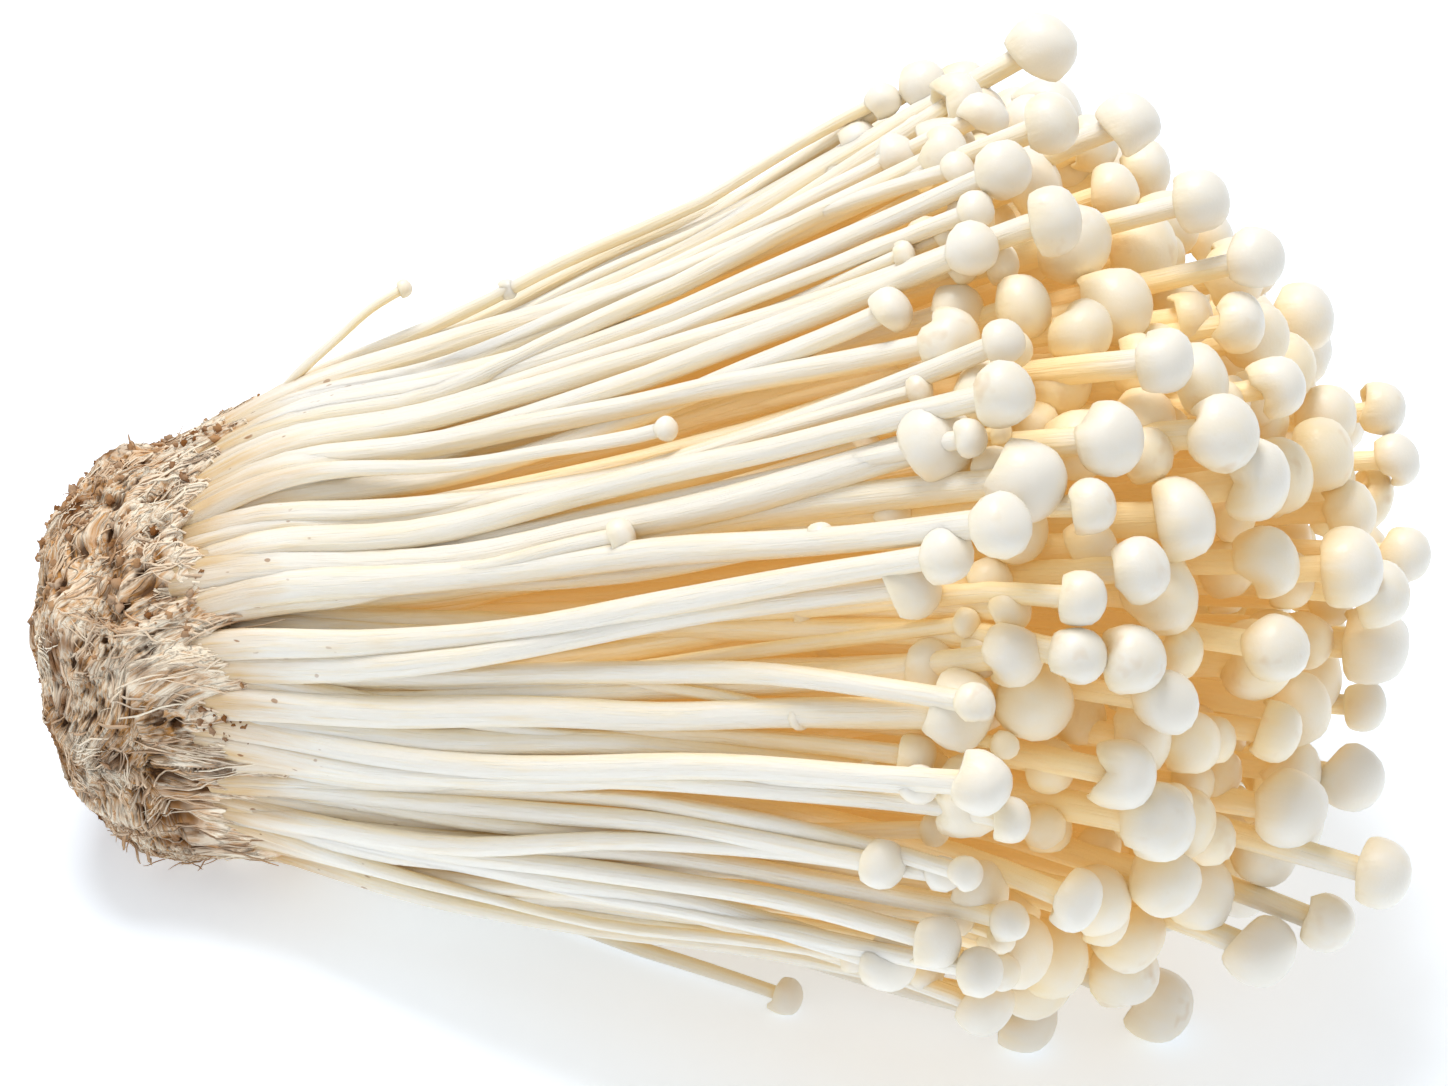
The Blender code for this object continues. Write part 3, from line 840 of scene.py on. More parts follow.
def stem_line(mushroom, count=64):
    """The stem's centre line as points, with the small wander that every stem has."""
    rng = random.Random(7 * SEED + mushroom.number)
    offset = Vector([rng.uniform(0, 50) for _ in range(3)])
    line = []
    for i in range(count):
        share = i / (count - 1)
        wander = noise.noise_vector(offset + Vector((share * WANDER_WAVES, 0, 0))) * STEM_WANDER
        point = stem_point(mushroom, share) + wander * math.sin(math.pi * share)
        reach = point.x + REST_REACH
        for clock, full_reach, width, height in SWELLS:
            towards = max(0.0, math.cos(mushroom.root_clock - clock)) ** 2 * mushroom.spread
            raised = height * towards * math.exp(-(((reach - full_reach) / width) ** 2))
            point += Vector((0, math.cos(clock), math.sin(clock))) * raised
        point.z = max(point.z, mushroom.stem)
        line.append(point)
    return np.array(line)


def frames_along(line, spread):
    """Unit vectors along a line, out of the bunch and sideways. Near the bunch's middle, out is up."""
    along = unit(np.gradient(line, axis=0))
    centre = [(0.0, sway_at(x + REST_REACH), section(x + REST_REACH)[0]) for x in line[:, 0]]
    radial = line - np.array(centre)
    radial[:, 0] = 0.0
    share = clamp(2.5 * spread - 0.5)
    out = unit(radial) * share + np.array([0.0, 0.0, 1.0]) * (1 - share + 0.01)
    return along, *square_to(along, out)


def shaped_cap(points, rng):
    """The template's cap with one mushroom's own lobes, lips, notch and dents, in cap radii."""
    x, y, z = points.T
    radius, angle = np.hypot(x, y), np.arctan2(y, x)
    near_lip = np.clip((0.35 - z) / 0.8, 0, 1) * np.clip((radius - 0.44) / 0.3, 0, 1)

    def bulge(width):
        away = np.angle(np.exp(1j * (angle - rng.uniform(0, 6.3))))
        return np.exp(-((away / width) ** 2)) * near_lip

    wide = 1 + rng.uniform(0, 0.05) * np.cos(2 * angle + rng.uniform(0, 6.3))
    wide += rng.uniform(0, 0.06) * np.cos(3 * angle + rng.uniform(0, 6.3)) * near_lip
    wide += rng.uniform(0, 0.04) * np.cos(5 * angle + rng.uniform(0, 6.3)) * near_lip
    lower = 0.09 * np.cos(angle + rng.uniform(0, 6.3)) * near_lip
    for _ in range(rng.choice((1, 2, 2, 3))):
        lip = bulge(rng.uniform(0.25, 0.5))
        lower += rng.uniform(0.1, 0.28) * lip
        wide -= rng.uniform(0.0, 0.12) * lip
    if rng.random() < 0.65:
        notch = bulge(rng.uniform(0.3, 0.55))
        wide -= rng.uniform(0.14, 0.34) * notch
        lower -= rng.uniform(0.1, 0.32) * notch
    wide = 1 + (wide - 1) * np.clip((radius - 0.44) / 0.3, 0, 1)
    shaped = np.column_stack((x * wide, y * wide, z * rng.uniform(0.9, 1.1) - lower)) * CAP_FULLNESS
    for _ in range(rng.choice((0, 0, 1, 2))):
        way = np.array(Vector((rng.uniform(-1, 1), rng.uniform(-1, 1), rng.uniform(-0.2, 0.9))).normalized())
        facing = unit(shaped) @ way
        shaped -= way * (rng.uniform(0.02, 0.07) * np.exp(-(1 - facing) / rng.uniform(0.01, 0.04)))[:, None]
    return shaped


def stem_section(mushroom, share, angle, rng):
    """How far a stem's surface stands from its line, in metres, outwards and sideways.

    At the root stems are pressed flat against each other and ribbed; further up they are round."""
    to_root = np.clip(1 - share / PRESSED_SHARE, 0, 1) ** 1.4
    slim = mushroom.stem * STEM_SLIMNESS
    plain = slim + (max(mushroom.stem, ROOT_RADIUS) * 1.1 - slim) * to_root
    ribs = 1 + (0.025 + 0.06 * to_root) * np.cos(rng.choice((3, 4, 5)) * angle + rng.uniform(0, 6.3) + 3 * share)
    swell = 1 + 0.05 * np.sin(share * rng.uniform(9, 16) + rng.uniform(0, 6.3))
    flat = (0.04 + 0.22 * to_root) * rng.uniform(0.6, 1.2)
    size = plain * ribs * swell
    return size * (1 - flat), size * (1 + flat)


def lay_mushroom(mushroom, template):
    """The template's points bent along one mushroom's line, as (points, attributes)."""
    rng = random.Random(11 * SEED + mushroom.number)
    line = stem_line(mushroom)
    along, out, side = frames_along(line, mushroom.spread)
    length = np.linalg.norm(np.diff(line, axis=0), axis=1).sum()
    neck_share = 1 - mushroom.cap / length

    z = template[:, 2]
    roll = rng.uniform(0, 2 * math.pi)
    x = template[:, 0] * math.cos(roll) - template[:, 1] * math.sin(roll)
    y = template[:, 0] * math.sin(roll) + template[:, 1] * math.cos(roll)
    radius, angle = np.hypot(x, y), np.arctan2(y, x)
    past_neck = np.clip(z - NECK, 0, None) * mushroom.cap

    share = np.clip((z - STEM_FOOT) / (NECK - STEM_FOOT), 0, 1) * neck_share
    outwards, sideways = stem_section(mushroom, share, angle, rng)
    across = np.column_stack((x * outwards, y * sideways)) / NECK_RADIUS
    centre, u, v = read_along(share, line, out, side)
    stem_points = centre + u * across[:, :1] + v * across[:, 1:] + along[-1] * past_neck[:, None]

    cap = shaped_cap(template, rng) * mushroom.cap
    tilt = Quaternion(Vector((rng.uniform(-1, 1), rng.uniform(-1, 1), 0)).normalized(), rng.uniform(0, CAP_TILT))
    cap = cap @ np.array(tilt.to_matrix()).T
    cap_points = line[-1] + cap @ np.array([out[-1], side[-1], along[-1]])
    is_cap = np.clip(np.clip((radius - 0.41) / 0.10, 0, 1) * (z > NECK) + (z > 0), 0, 1)
    points = stem_points * (1 - is_cap)[:, None] + cap_points * is_cap[:, None]
    points[:, 2] = np.maximum(points[:, 2], 0.0)

    from_root = share * length / MM
    grain = np.column_stack((across / MM, from_root + past_neck / MM))
    cap_grain = cap / MM + np.array([0.0, 0.0, from_root.max() + mushroom.cap / MM])
    grain = grain * (1 - is_cap)[:, None] + cap_grain * is_cap[:, None]
    grain += np.array([rng.uniform(0, 90) for _ in range(3)])
    tone = np.full(len(x), rng.random())
    # Painted shade: inward marks the side of each stem that faces into the bunch and the lower part of each cap
    # towards the lip, under_cap the stem just under the cap; with the depth, the flesh material paints these darker
    # and yellower. inward also places the wrinkles near the lip and some of the glow.
    inward = (1 - x / np.maximum(radius, 1e-6)) / 2 * (1 - is_cap) + np.clip((0.25 - z) / 0.8, 0, 1) * is_cap
    under_cap = np.exp(-(((z + 0.45) / 0.28) ** 2)) * np.clip((0.8 - radius) / 0.3, 0, 1)
    values = {
        "grain": grain,
        "growth": np.column_stack((from_root, is_cap, tone)),
        "shelter": np.column_stack((depth_in_bunch(points), inward, under_cap)),
    }
    return points, values


def build_mushrooms(name, numbers, sides, rings):
    """One piece of all the mushrooms whose numbers lie in a range."""
    template, plain = mushroom_template(sides, rings)
    chosen = [m for m in all_mushrooms() if m.number in numbers]
    piece = join([copy_with(template, f"{name}_{m.number}", *lay_mushroom(m, plain)) for m in chosen], name)
    remove(template)
    finish_piece(piece, flesh_material(), "mushroom_flesh", "mushrooms")

# ---------------------------------------------------------------- root block

BLOCK_SQUARENESS = 2.7
SIDE_SHARE = 0.35
BLOCK_SIDES = 190
SIDE_ROWS = 34
BACK_ROWS = 88
LUMP_HEIGHT = 1.3 * MM
LUMP_SIZE = 6.0 * MM
PIT_DEPTH = 1.6 * MM
PIT_SIZE = 3.4 * MM
CLIMB = 2.4 * MM
CLIMB_WAVES = 4.0
COLLAR = (2.5 * MM, 9.5 * MM)
COLLAR_CLOCK = math.radians(215)
COLLAR_FRAY = 5.5 * MM
COLLAR_RISE = 0.30
CROWN_SWELL = 2.4 * MM
POCK_SIZE = 1.9 * MM
POCK_STRETCH = 0.4
POCK_DEPTH = 1.2 * MM
STRAND_SIZE = 0.75 * MM
STRAND_STRETCH = 0.16
STRAND_HEIGHT = 0.28 * MM
SWIRL_SIZE = 10.0 * MM
SWIRL = 7.0 * MM
ROUGH_SIZE = 0.9 * MM
FLOOR_FADE = 5 * MM
CROWN_FADE = 2 * MM
RIM_FADE = 6 * MM
DIRT_SIZES = (5 * MM, 2 * MM)
BACK_DIRT = 0.35
BLOCK_MIDDLE = (-5 * MM, 0.0, 20 * MM)

FIBRE_SIDES = 3
FIBRE_STEPS = 7
FIBRE_FLATNESS = (0.7, 1.25)
NET_FIBRES = 1200
STREAMING_FIBRES = 1000
LOOSE_TAGS = 90
CRUMBS = 700
CRUMB_SHAPE = (1.2, 1.0, 0.85)
CRUMB_RADII = (0.14, 0.52)
CRUMB_LUMPS = 1.1


def climb(clock):
    """How far past the crown the mycelium climbs the stems at a clock angle."""
    place = Vector((math.cos(clock), math.sin(clock), 0.3)) * CLIMB_WAVES
    return CLIMB * (0.3 + noise.noise(place) + 0.5 * noise.noise(place * 2.7))


def collar(clock):
    """How far a thin felt of strands runs on over the stems past that. It is longest to -Y, and frayed."""
    towards = max(0.0, math.cos(clock - COLLAR_CLOCK))
    frayed = noise.noise(Vector((math.cos(clock), math.sin(clock), 0.7)) * 13)
    return max(0.0, mix(*COLLAR, towards) + COLLAR_FRAY * frayed)


def block_profile(travel):
    """(along, out) on the block's outline, from the crown's edge at 0 to the middle of its back at 1."""
    size = bpy.context.scene.enoki_size
    side_length = SIDE_SHARE * size.block_length
    if travel < SIDE_SHARE:
        return -side_length * travel / SIDE_SHARE, size.crown_radius
    angle = math.pi / 2 * (travel - SIDE_SHARE) / (1 - SIDE_SHARE)
    power = 2 / BLOCK_SQUARENESS
    along = side_length + (size.block_length - side_length) * math.sin(angle) ** power
    return -along, size.crown_radius * max(0.0, math.cos(angle)) ** power


def block_place(local):
    """From the block's own frame, with X along it from its crown, to the bunch's."""
    size = bpy.context.scene.enoki_size
    turn = Matrix.Rotation(-size.block_tilt, 3, "Y")
    return turn @ local + Vector((size.crown_reach - REST_REACH, 0, size.crown_height))


def relief(point):
    """How far the block's surface stands out at a point, and how much of it is a pit, as the solid has it."""
    nearest = noise.voronoi(point / PIT_SIZE)[0][0]
    pit = clamp(1 - nearest / 0.45)
    return LUMP_HEIGHT * noise.noise(point / LUMP_SIZE) - PIT_DEPTH * pit, pit


def lie_of_felt(point):
    """A point in a space that is turned and bent so that the strands there all run along X."""
    swirl = noise.noise_vector(point / SWIRL_SIZE) * SWIRL
    round_axis = 20 * MM * math.atan2(point.z, point.y)
    return Vector((point.x + swirl.x, round_axis * clamp(1.2 + point.x / (30 * MM)) + swirl.y,
                   math.hypot(point.y, point.z) + swirl.z))


def felt_relief(point):
    """Finer relief: matted strands and the long pocks between them, as (metres, 0 to 1 for how high)."""
    lie = lie_of_felt(point)
    stretched = Vector((lie.x * POCK_STRETCH, lie.y, lie.z)) / POCK_SIZE
    pock = smooth(clamp(1 - noise.voronoi(stretched)[0][0] / 0.36))
    strands = noise.fractal(Vector((lie.x * STRAND_STRETCH, lie.y, lie.z)) / STRAND_SIZE, 0.7, 2.0, 3)
    rough = noise.noise(point / ROUGH_SIZE)
    height = STRAND_HEIGHT * (strands + 0.5 * rough) - POCK_DEPTH * pock
    return height, clamp(0.66 - 0.8 * pock + 0.5 * strands + 0.2 * rough)


def block_surface(local):
    """A point of the plain block with its relief, in the bunch, with how high it lies from 0 to 1."""
    size = bpy.context.scene.enoki_size
    height = size.crown_height + local.x * math.sin(size.block_tilt) + local.z * math.cos(size.block_tilt)
    above_floor = smooth(clamp(height / FLOOR_FADE))
    behind_crown = clamp(-local.x / CROWN_FADE)
    rim = clamp(1 + local.x / RIM_FADE) * math.hypot(local.y, local.z) / size.crown_radius
    coarse, pit = relief(local)
    fine, high = felt_relief(local)
    out = (local - Vector((-0.4 * size.block_length, 0, 0))).normalized()
    raised = out * (coarse * behind_crown + fine) * above_floor
    clock = math.atan2(local.z, local.y)
    past = (climb(clock) + collar(clock)) * rim
    swell = CROWN_SWELL * max(0.0, math.sin(clock)) ** 2 * rim
    wider = Vector((0, math.cos(clock), math.sin(clock))) * (COLLAR_RISE * past + swell) * above_floor
    place = block_place(local + raised + wider + Vector((past, 0, 0)))
    place.z = max(place.z, 0.0)
    # The height is lowered in the pits, and the material paints shade where the height is low.
    return place, clamp(mix(high * (1 - 0.85 * pit), 0.9, clamp(1.4 * rim - 0.5)))


def dirt_at(local):
    """How much bran shows through the felt at a point of the block, from 0 to 1. Most is at its back."""
    wide, small = DIRT_SIZES
    dirt = 0.02 + 1.1 * noise.noise(local / wide) + 0.7 * noise.noise(local / small)
    dirt += BACK_DIRT * clamp((-local.x - 10 * MM) / (8 * MM))
    return clamp(dirt * clamp(-local.x / (3 * MM)))


def build_block_body():
    """The matted body of the root block."""
    size = bpy.context.scene.enoki_size
    outline = [(0.0, share * size.crown_radius) for share in (0.3, 0.8, 0.95)]
    side = [block_profile(SIDE_SHARE * i / SIDE_ROWS) for i in range(SIDE_ROWS)]
    back = [block_profile(SIDE_SHARE + (1 - SIDE_SHARE) * i / BACK_ROWS) for i in range(BACK_ROWS + 1)]
    outline += [(-along, out) for along, out in side + back]
    body = turned("mycelium_body", outline, BLOCK_SIDES)
    refine = body.modifiers.new("Refine", "SUBSURF")
    refine.levels = refine.render_levels = 1
    bpy.ops.object.modifier_apply(modifier=refine.name)
    placed, felt, lies = [], [], []
    for x, y, z in points_of(body):
        local = Vector((-z, y, x))
        place, high = block_surface(local)
        placed.append(place)
        felt.append((high, 0.5, dirt_at(local)))
        lies.append(lie_of_felt(local) / MM)
    body.data.vertices.foreach_set("co", np.array(placed, np.float32).ravel())
    set_attributes(body.data, {"felt": np.array(felt), "lie": np.array(lies)})
    recalculate_normals(body)
    finish_piece(body, mycelium_material(True), "mycelium", "root_block")


# ---------------------------------------------------------------- fibres, tags and crumbs


@functools.cache
def outline_lengths():
    """Travel along the block's outline against the length travelled, for equal steps."""
    travels = [i / 200 for i in range(201)]
    places = np.array([block_profile(travel) for travel in travels])
    lengths = np.concatenate(([0.0], np.cumsum(np.linalg.norm(np.diff(places, axis=0), axis=1))))
    return lengths, travels


def skin_point(back, clock):
    """A point on the block's surface, a length back from its crown's edge. Past the edge it is on the stems."""
    size = bpy.context.scene.enoki_size
    if back < 0:
        return in_bunch(size.crown_reach + climb(clock) + collar(clock) - back, 1.0, clock)
    lengths, travels = outline_lengths()
    along, out = block_profile(float(np.interp(back, lengths, travels)))
    return block_surface(Vector((along, out * math.cos(clock), out * math.sin(clock))))[0]


@functools.cache
def fibre_template():
    """A thin strand along Z, pointed at both ends."""
    radii = [math.sin(math.pi * (0.08 + 0.84 * i / FIBRE_STEPS)) ** 0.6 for i in range(FIBRE_STEPS + 1)]
    outline = [(i / FIBRE_STEPS, radius) for i, radius in enumerate(radii)]
    template = turned("fibre_template", outline + [(1.02, 0.0)], FIBRE_SIDES)
    return template, points_of(template)


@dataclass
class Fibre:
    """A strand on the block: where it starts, which way it runs (0 is to the crown), and how it lies."""

    back: float
    clock: float
    way: float
    length: float
    radius: float
    lift: float
    tone: float
    dirt: float
    curl: float
    loose_end: float = 0.0


def fibre_line(fibre, rng):
    """The strand's points: it wanders over the surface, rising from it in the middle, and may end loose."""
    size = bpy.context.scene.enoki_size
    back, clock, way = fibre.back, fibre.clock, fibre.way
    step = fibre.length / FIBRE_STEPS
    phase = rng.uniform(0, 50)
    line = []
    for i in range(FIBRE_STEPS + 1):
        share = i / FIBRE_STEPS
        point = skin_point(back, clock)
        middle = Vector((0.0, 0.0, size.crown_height))
        out = (point - middle).normalized()
        arch = fibre.lift * (math.sin(math.pi * share) - 0.25) + fibre.loose_end * share**2
        point = point + out * arch
        point.z = max(point.z, fibre.radius)
        line.append(point)
        girth = max(4 * MM, math.hypot(point.y, point.z - size.crown_height))
        turn = fibre.curl * noise.noise(Vector((phase + 2.5 * share, fibre.clock, 0.0)))
        back -= step * math.cos(way + turn)
        clock += step * math.sin(way + turn) / girth
    return np.array(line)


def lay_fibre(fibre, rng):
    """The strand's template laid along its line, as (points, attributes)."""
    template = fibre_template()[1]
    line = fibre_line(fibre, rng)
    along = unit(np.gradient(line, axis=0))
    out, side = square_to(along, unit(line - np.array(BLOCK_MIDDLE)))
    share = np.clip(template[:, 2], 0, 1)
    centre, u, v = read_along(share, line, out, side)
    x, y = (template[:, axis] * fibre.radius * FIBRE_FLATNESS[axis] for axis in range(2))
    points = centre + u * x[:, None] + v * y[:, None]
    points[:, 2] = np.maximum(points[:, 2], 0.0)
    # Painted shade: the side of each strand that faces the block gets a lower height, which the material paints tan.
    high = 0.55 + 0.45 * np.clip(template[:, 0] * 0.5 + 0.5, 0, 1)
    felt = np.column_stack((high, np.full(len(share), fibre.tone), np.full(len(share), fibre.dirt)))
    return points, {"felt": felt}


def build_fibres(name, fibres, seed):
    rng = random.Random(seed)
    template = fibre_template()[0]
    piece = join([copy_with(template, name, *lay_fibre(fibre, rng)) for fibre in fibres], name)
    finish_piece(piece, mycelium_material(False), "mycelium", "root_block")


def net_fibres():
    """The net over the whole block, in small sheaves: along it near the crown, and every way on its back."""
    rng = random.Random(8 * SEED)
    whole = outline_lengths()[0][-1]
    found = []
    while len(found) < NET_FIBRES:
        back = whole * (1 - math.sqrt(rng.random()))
        clock = rng.uniform(0, 2 * math.pi)
        swirl = noise.noise(skin_point(back, clock) / (9 * MM)) * 3.4
        way = swirl * clamp(0.12 + back / (14 * MM)) + rng.gauss(0, 0.4)
        tone, dirt = rng.uniform(0.1, 1.0), rng.random() ** 4 * 0.6
        for _ in range(rng.randint(2, 6)):
            aside = rng.gauss(0, 0.45) * MM
            found.append(Fibre(
                back=back + rng.gauss(0, 0.9) * MM + aside * math.sin(way),
                clock=clock + aside * math.cos(way) / (16 * MM),
                way=way + rng.gauss(0, 0.14),
                length=rng.uniform(2.0, 6.0) * MM,
                radius=rng.uniform(0.05, 0.15) * MM,
                lift=rng.uniform(0.0, 0.28) * MM,
                tone=clamp(tone + rng.uniform(-0.2, 0.2)),
                dirt=dirt,
                curl=rng.uniform(0.3, 1.3),
            ))
    return found


def streaming_fibres():
    """Those at the border, which run out between the roots of the stems."""
    rng = random.Random(9 * SEED)
    found = []
    while len(found) < STREAMING_FIBRES:
        clock = rng.uniform(0, 2 * math.pi)
        back = rng.uniform(-1.0, 5.0) * MM
        way, reach = rng.gauss(0, 0.3), rng.uniform(0.4, 1.4)
        for _ in range(rng.randint(3, 8)):
            found.append(Fibre(
                back=back + rng.gauss(0, 0.5) * MM,
                clock=clock + rng.gauss(0, 0.03),
                way=way + rng.gauss(0, 0.10),
                length=reach * rng.uniform(2.5, 6.0) * MM,
                radius=rng.uniform(0.06, 0.18) * MM,
                lift=rng.uniform(-0.1, 0.2) * MM,
                tone=rng.uniform(0.3, 1.0),
                dirt=rng.random() ** 4 * 0.6,
                curl=rng.uniform(0.1, 0.6),
            ))
    return found


def loose_tags():
    """Frayed tags that hang off the lower edge of the back."""
    rng = random.Random(10 * SEED)
    return [
        Fibre(
            back=rng.uniform(4, 16) * MM,
            clock=math.radians(rng.choice((rng.uniform(170, 290), rng.uniform(60, 330)))),
            way=rng.uniform(-3.1, 3.1),
            length=rng.uniform(1.5, 4.0) * MM,
            radius=rng.uniform(0.08, 0.22) * MM,
            lift=0.2 * MM,
            tone=rng.uniform(0.0, 0.6),
            dirt=rng.uniform(0.2, 0.7),
            curl=rng.uniform(0.5, 1.5),
            loose_end=rng.uniform(0.4, 1.6) * MM,
        )
        for _ in range(LOOSE_TAGS)
    ]


def crumb_template():
    """A ball, wider than it is high."""
    deselect_all()
    bpy.ops.mesh.primitive_uv_sphere_add(segments=7, ring_count=5, radius=1.0, location=(0, 0, 0))
    template = bpy.context.object
    bpy.ops.object.mode_set(mode="EDIT")
    bpy.ops.mesh.select_all(action="SELECT")
    bpy.ops.transform.resize(value=CRUMB_SHAPE)
    bpy.ops.object.mode_set(mode="OBJECT")
    bpy.ops.object.shade_smooth()
    return template, points_of(template)


def build_crumbs():
    """Brown crumbs of bran that stick to the back and to the border, in small crowds."""
    template, plain = crumb_template()
    rng = random.Random(12 * SEED)
    whole = outline_lengths()[0][-1]
    copies = []
    while len(copies) < CRUMBS:
        on_border = rng.random() < 0.3
        back = rng.uniform(-1.0, 2.5) * MM if on_border else whole * (1 - rng.random() ** 0.6)
        clock = rng.uniform(0, 2 * math.pi)
        crowd = noise.noise(skin_point(back, clock) / (6 * MM)) + 0.7 * math.sin(clock)
        if crowd < rng.uniform(-0.1, 0.9):
            continue
        tone, dirt = rng.random(), rng.uniform(0.5, 1.0)
        for _ in range(rng.randint(2, 7)):
            place = skin_point(back + rng.gauss(0, 0.5) * MM, clock + rng.gauss(0, 0.5) / 18)
            radius = mix(*CRUMB_RADII, rng.random() ** 2) * MM
            offset = Vector([rng.uniform(0, 60) for _ in range(3)])
            lumpy = np.array([1 + CRUMB_LUMPS * noise.noise(Vector(p) * 1.6 + offset) for p in plain])
            turn = Quaternion(Vector([rng.uniform(-1, 1) for _ in range(3)]).normalized(), rng.uniform(0, 6.3))
            points = (plain * lumpy[:, None]) @ np.array(turn.to_matrix()).T * radius + np.array(place)
            points[:, 2] = np.maximum(points[:, 2], 0.0)
            felt = np.tile((0.6, tone, dirt), (len(points), 1))
            copies.append(copy_with(template, "crumb", points, {"felt": felt}))
    piece = join(copies, "crumbs")
    remove(template)
    finish_piece(piece, mycelium_material(False), "mycelium", "root_block")


# ---------------------------------------------------------------- stage

CAMERA_AZIMUTH = math.radians(9)
CAMERA_ELEVATION = math.radians(35)
CAMERA_DISTANCE = 0.7
CAMERA_LENS = 171.6
SENSOR_WIDTH = 36
CAMERA_TARGET = Vector((0.0535, -0.005, 0.0426))
LIGHT_TARGET = Vector((0.055, 0.0, 0.03))
STUDIO_LIGHTS = (
    ("Key light", (-0.10, 0.13, 0.87), 0.40, 5.4),
    ("Fill light", (-0.45, -0.60, 0.40), 0.60, 0.25),
)
STUDIO_BRIGHTNESS = 0.54
FLOOR_SIZE = 6.0
FLOOR_COLOUR = (0.81, 0.89, 0.99)
FLOOR_GLOW = 0.39
FLOOR_GLOW_COLOUR = (0.95, 0.97, 1.0)


def aim(obj, target):
    obj.rotation_euler = (Vector(target) - obj.location).to_track_quat("-Z", "Y").to_euler()


def build_stage():
    """A pale floor that is lit a little from below, soft lights and the camera."""
    deselect_all()
    bpy.ops.mesh.primitive_plane_add(size=FLOOR_SIZE, location=(0, 0, 0))
    floor = bpy.context.object
    floor.name = "floor"
    m = Material("Pale floor")
    m.set(Base_Color=FLOOR_COLOUR, Roughness=0.8, Specular_IOR_Level=0.1)
    m.set(Emission_Color=FLOOR_GLOW_COLOUR, Emission_Strength=FLOOR_GLOW)
    floor.data.materials.append(m.material)

    world = bpy.data.worlds.new("Studio")
    world.use_nodes = True
    background = world.node_tree.nodes["Background"]
    background.inputs["Color"].default_value = (1.0, 1.0, 1.0, 1.0)
    background.inputs["Strength"].default_value = STUDIO_BRIGHTNESS
    bpy.context.scene.world = world

    for name, place, width, power in STUDIO_LIGHTS:
        bpy.ops.object.light_add(type="AREA", location=place)
        light = bpy.context.object
        light.name = name
        light.data.shape = "DISK"
        light.data.size = width
        light.data.energy = power
        aim(light, LIGHT_TARGET)

    level = math.cos(CAMERA_ELEVATION)
    back = Vector((math.sin(CAMERA_AZIMUTH) * level, -math.cos(CAMERA_AZIMUTH) * level, math.sin(CAMERA_ELEVATION)))
    bpy.ops.object.camera_add(location=CAMERA_TARGET + back * CAMERA_DISTANCE)
    camera = bpy.context.object
    camera.data.lens = CAMERA_LENS
    camera.data.sensor_width = SENSOR_WIDTH
    camera.data.clip_start = 0.01
    aim(camera, CAMERA_TARGET)
    bpy.context.scene.camera = camera
    bpy.context.scene.view_settings.view_transform = "Standard"


# ---------------------------------------------------------------- operators and panel


class ENOKI_OT_standouts(bpy.types.Operator):
    """Model the mushrooms that stand out of the bunch"""

    bl_idname = "enoki.standouts"
    bl_label = "Standing-out mushrooms"

    def execute(self, context):
        build_mushrooms("standout_mushrooms", range(0, 1000), 20, 26)
        return {"FINISHED"}


class ENOKI_OT_front(bpy.types.Operator):
    """Model the mushrooms of the domed front"""

    bl_idname = "enoki.front"
    bl_label = "Front mushrooms"

    def execute(self, context):
        build_mushrooms("front_mushrooms", range(1000, 2000), 16, 20)
        return {"FINISHED"}


class ENOKI_OT_sides(bpy.types.Operator):
    """Model the shorter mushrooms round the outside"""

    bl_idname = "enoki.sides"
    bl_label = "Side mushrooms"

    def execute(self, context):
        build_mushrooms("side_mushrooms", range(2000, 3000), 14, 20)
        return {"FINISHED"}


class ENOKI_OT_inner(bpy.types.Operator):
    """Model the smaller mushrooms in the gaps of the front"""

    bl_idname = "enoki.inner"
    bl_label = "Inner mushrooms"

    def execute(self, context):
        build_mushrooms("inner_mushrooms", range(3000, 4000), 12, 12)
        return {"FINISHED"}


class ENOKI_OT_rim(bpy.types.Operator):
    """Model the thin mushrooms close under the outside"""

    bl_idname = "enoki.rim"
    bl_label = "Rim mushrooms"

    def execute(self, context):
        build_mushrooms("rim_mushrooms", range(4000, 5000), 12, 16)
        return {"FINISHED"}


class ENOKI_OT_block(bpy.types.Operator):
    """Model the matted body of the root block"""

    bl_idname = "enoki.block"
    bl_label = "Mycelium body"

    def execute(self, context):
        build_block_body()
        return {"FINISHED"}


class ENOKI_OT_fibres(bpy.types.Operator):
    """Model the fibres on the root block and at its border"""

    bl_idname = "enoki.fibres"
    bl_label = "Mycelium fibres"

    def execute(self, context):
        build_fibres("mycelium_net", net_fibres(), 13 * SEED)
        build_fibres("mycelium_border", streaming_fibres() + loose_tags(), 14 * SEED)
        return {"FINISHED"}


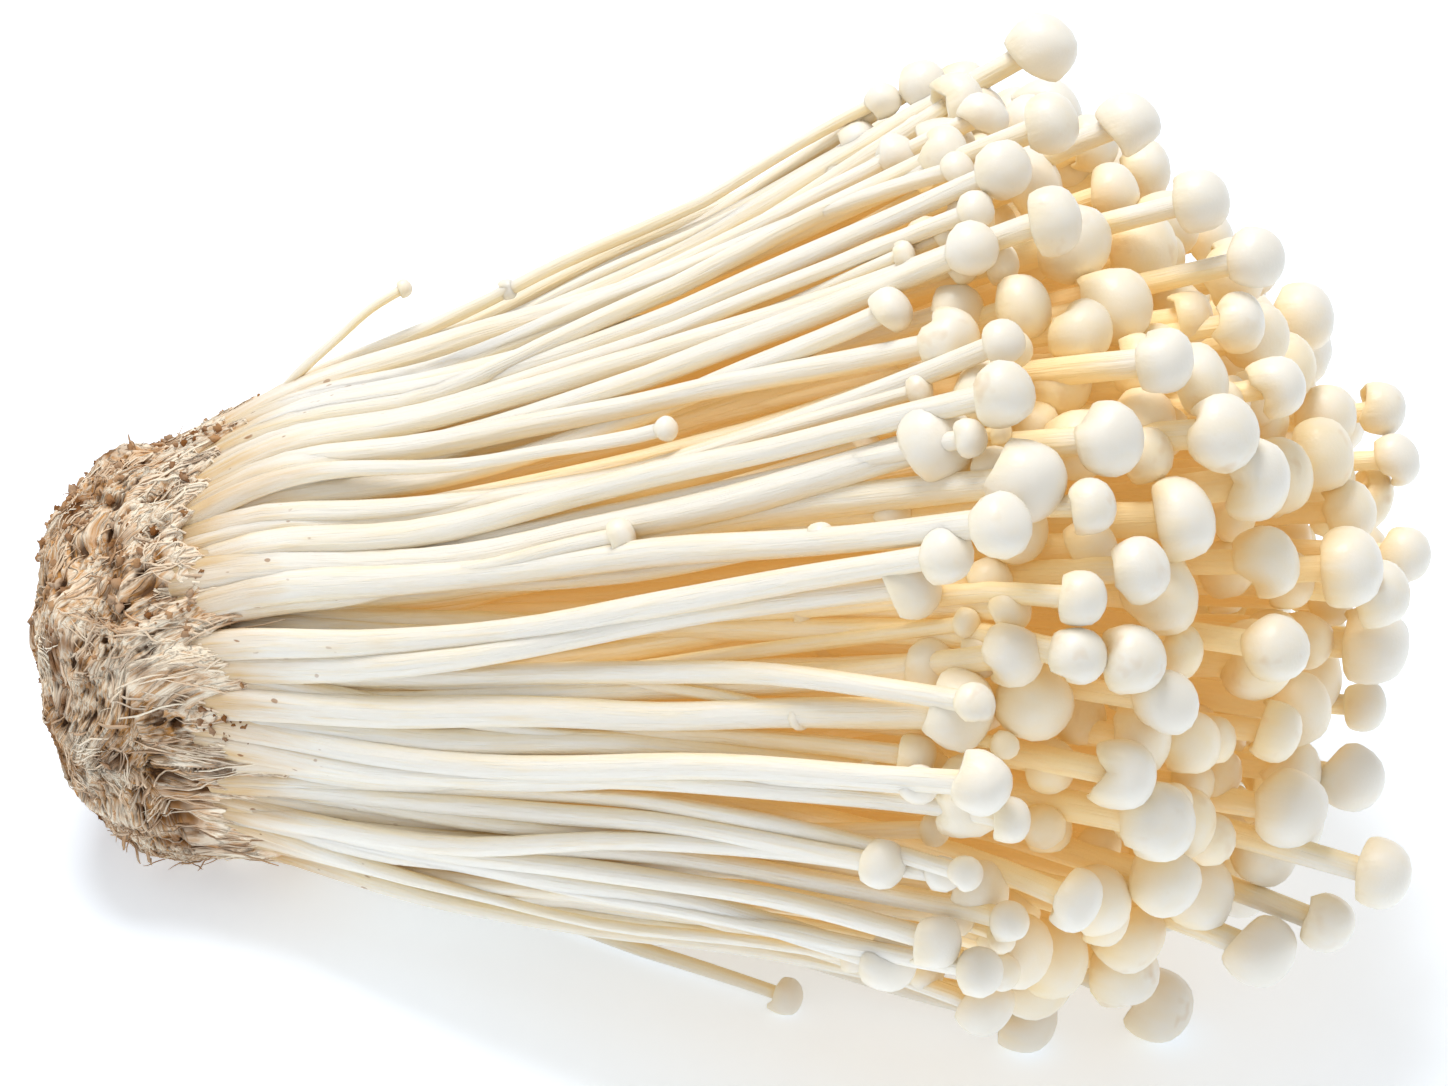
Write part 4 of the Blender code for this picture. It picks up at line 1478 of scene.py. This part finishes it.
class ENOKI_OT_crumbs(bpy.types.Operator):
    """Model the brown crumbs on the root block"""

    bl_idname = "enoki.crumbs"
    bl_label = "Crumbs"

    def execute(self, context):
        build_crumbs()
        return {"FINISHED"}


class ENOKI_OT_stage(bpy.types.Operator):
    """Set the floor, the lights and the camera"""

    bl_idname = "enoki.stage"
    bl_label = "Stage"

    def execute(self, context):
        build_stage()
        return {"FINISHED"}


OPERATORS = (
    ENOKI_OT_stage,
    ENOKI_OT_standouts,
    ENOKI_OT_front,
    ENOKI_OT_sides,
    ENOKI_OT_inner,
    ENOKI_OT_rim,
    ENOKI_OT_block,
    ENOKI_OT_fibres,
    ENOKI_OT_crumbs,
)


class ENOKI_PT_panel(bpy.types.Panel):
    """Lists the bunch's sizes, colours and pieces"""

    bl_idname = "ENOKI_PT_panel"
    bl_label = "Enoki bunch"
    bl_space_type = "VIEW_3D"
    bl_region_type = "UI"
    bl_category = "Enoki"

    def draw(self, context):
        for settings in (context.scene.enoki_size, context.scene.enoki_flesh, context.scene.enoki_mycelium):
            box = self.layout.box()
            for name in settings.__annotations__:
                box.prop(settings, name)
        for operator in OPERATORS:
            self.layout.operator(operator.bl_idname)


CLASSES = (BunchSize, FleshFinish, MyceliumFinish, *OPERATORS, ENOKI_PT_panel)


def register():
    for cls in CLASSES:
        bpy.utils.register_class(cls)
    bpy.types.Scene.enoki_size = PointerProperty(type=BunchSize)
    bpy.types.Scene.enoki_flesh = PointerProperty(type=FleshFinish)
    bpy.types.Scene.enoki_mycelium = PointerProperty(type=MyceliumFinish)


def unregister():
    del bpy.types.Scene.enoki_size
    del bpy.types.Scene.enoki_flesh
    del bpy.types.Scene.enoki_mycelium
    for cls in reversed(CLASSES):
        bpy.utils.unregister_class(cls)


def main():
    register()
    bpy.ops.enoki.stage()
    bpy.ops.enoki.standouts()
    bpy.ops.enoki.front()
    bpy.ops.enoki.sides()
    bpy.ops.enoki.inner()
    bpy.ops.enoki.rim()
    bpy.ops.enoki.block()
    bpy.ops.enoki.fibres()
    bpy.ops.enoki.crumbs()
    remove(fibre_template()[0])


if __name__ == "__main__":
    main()
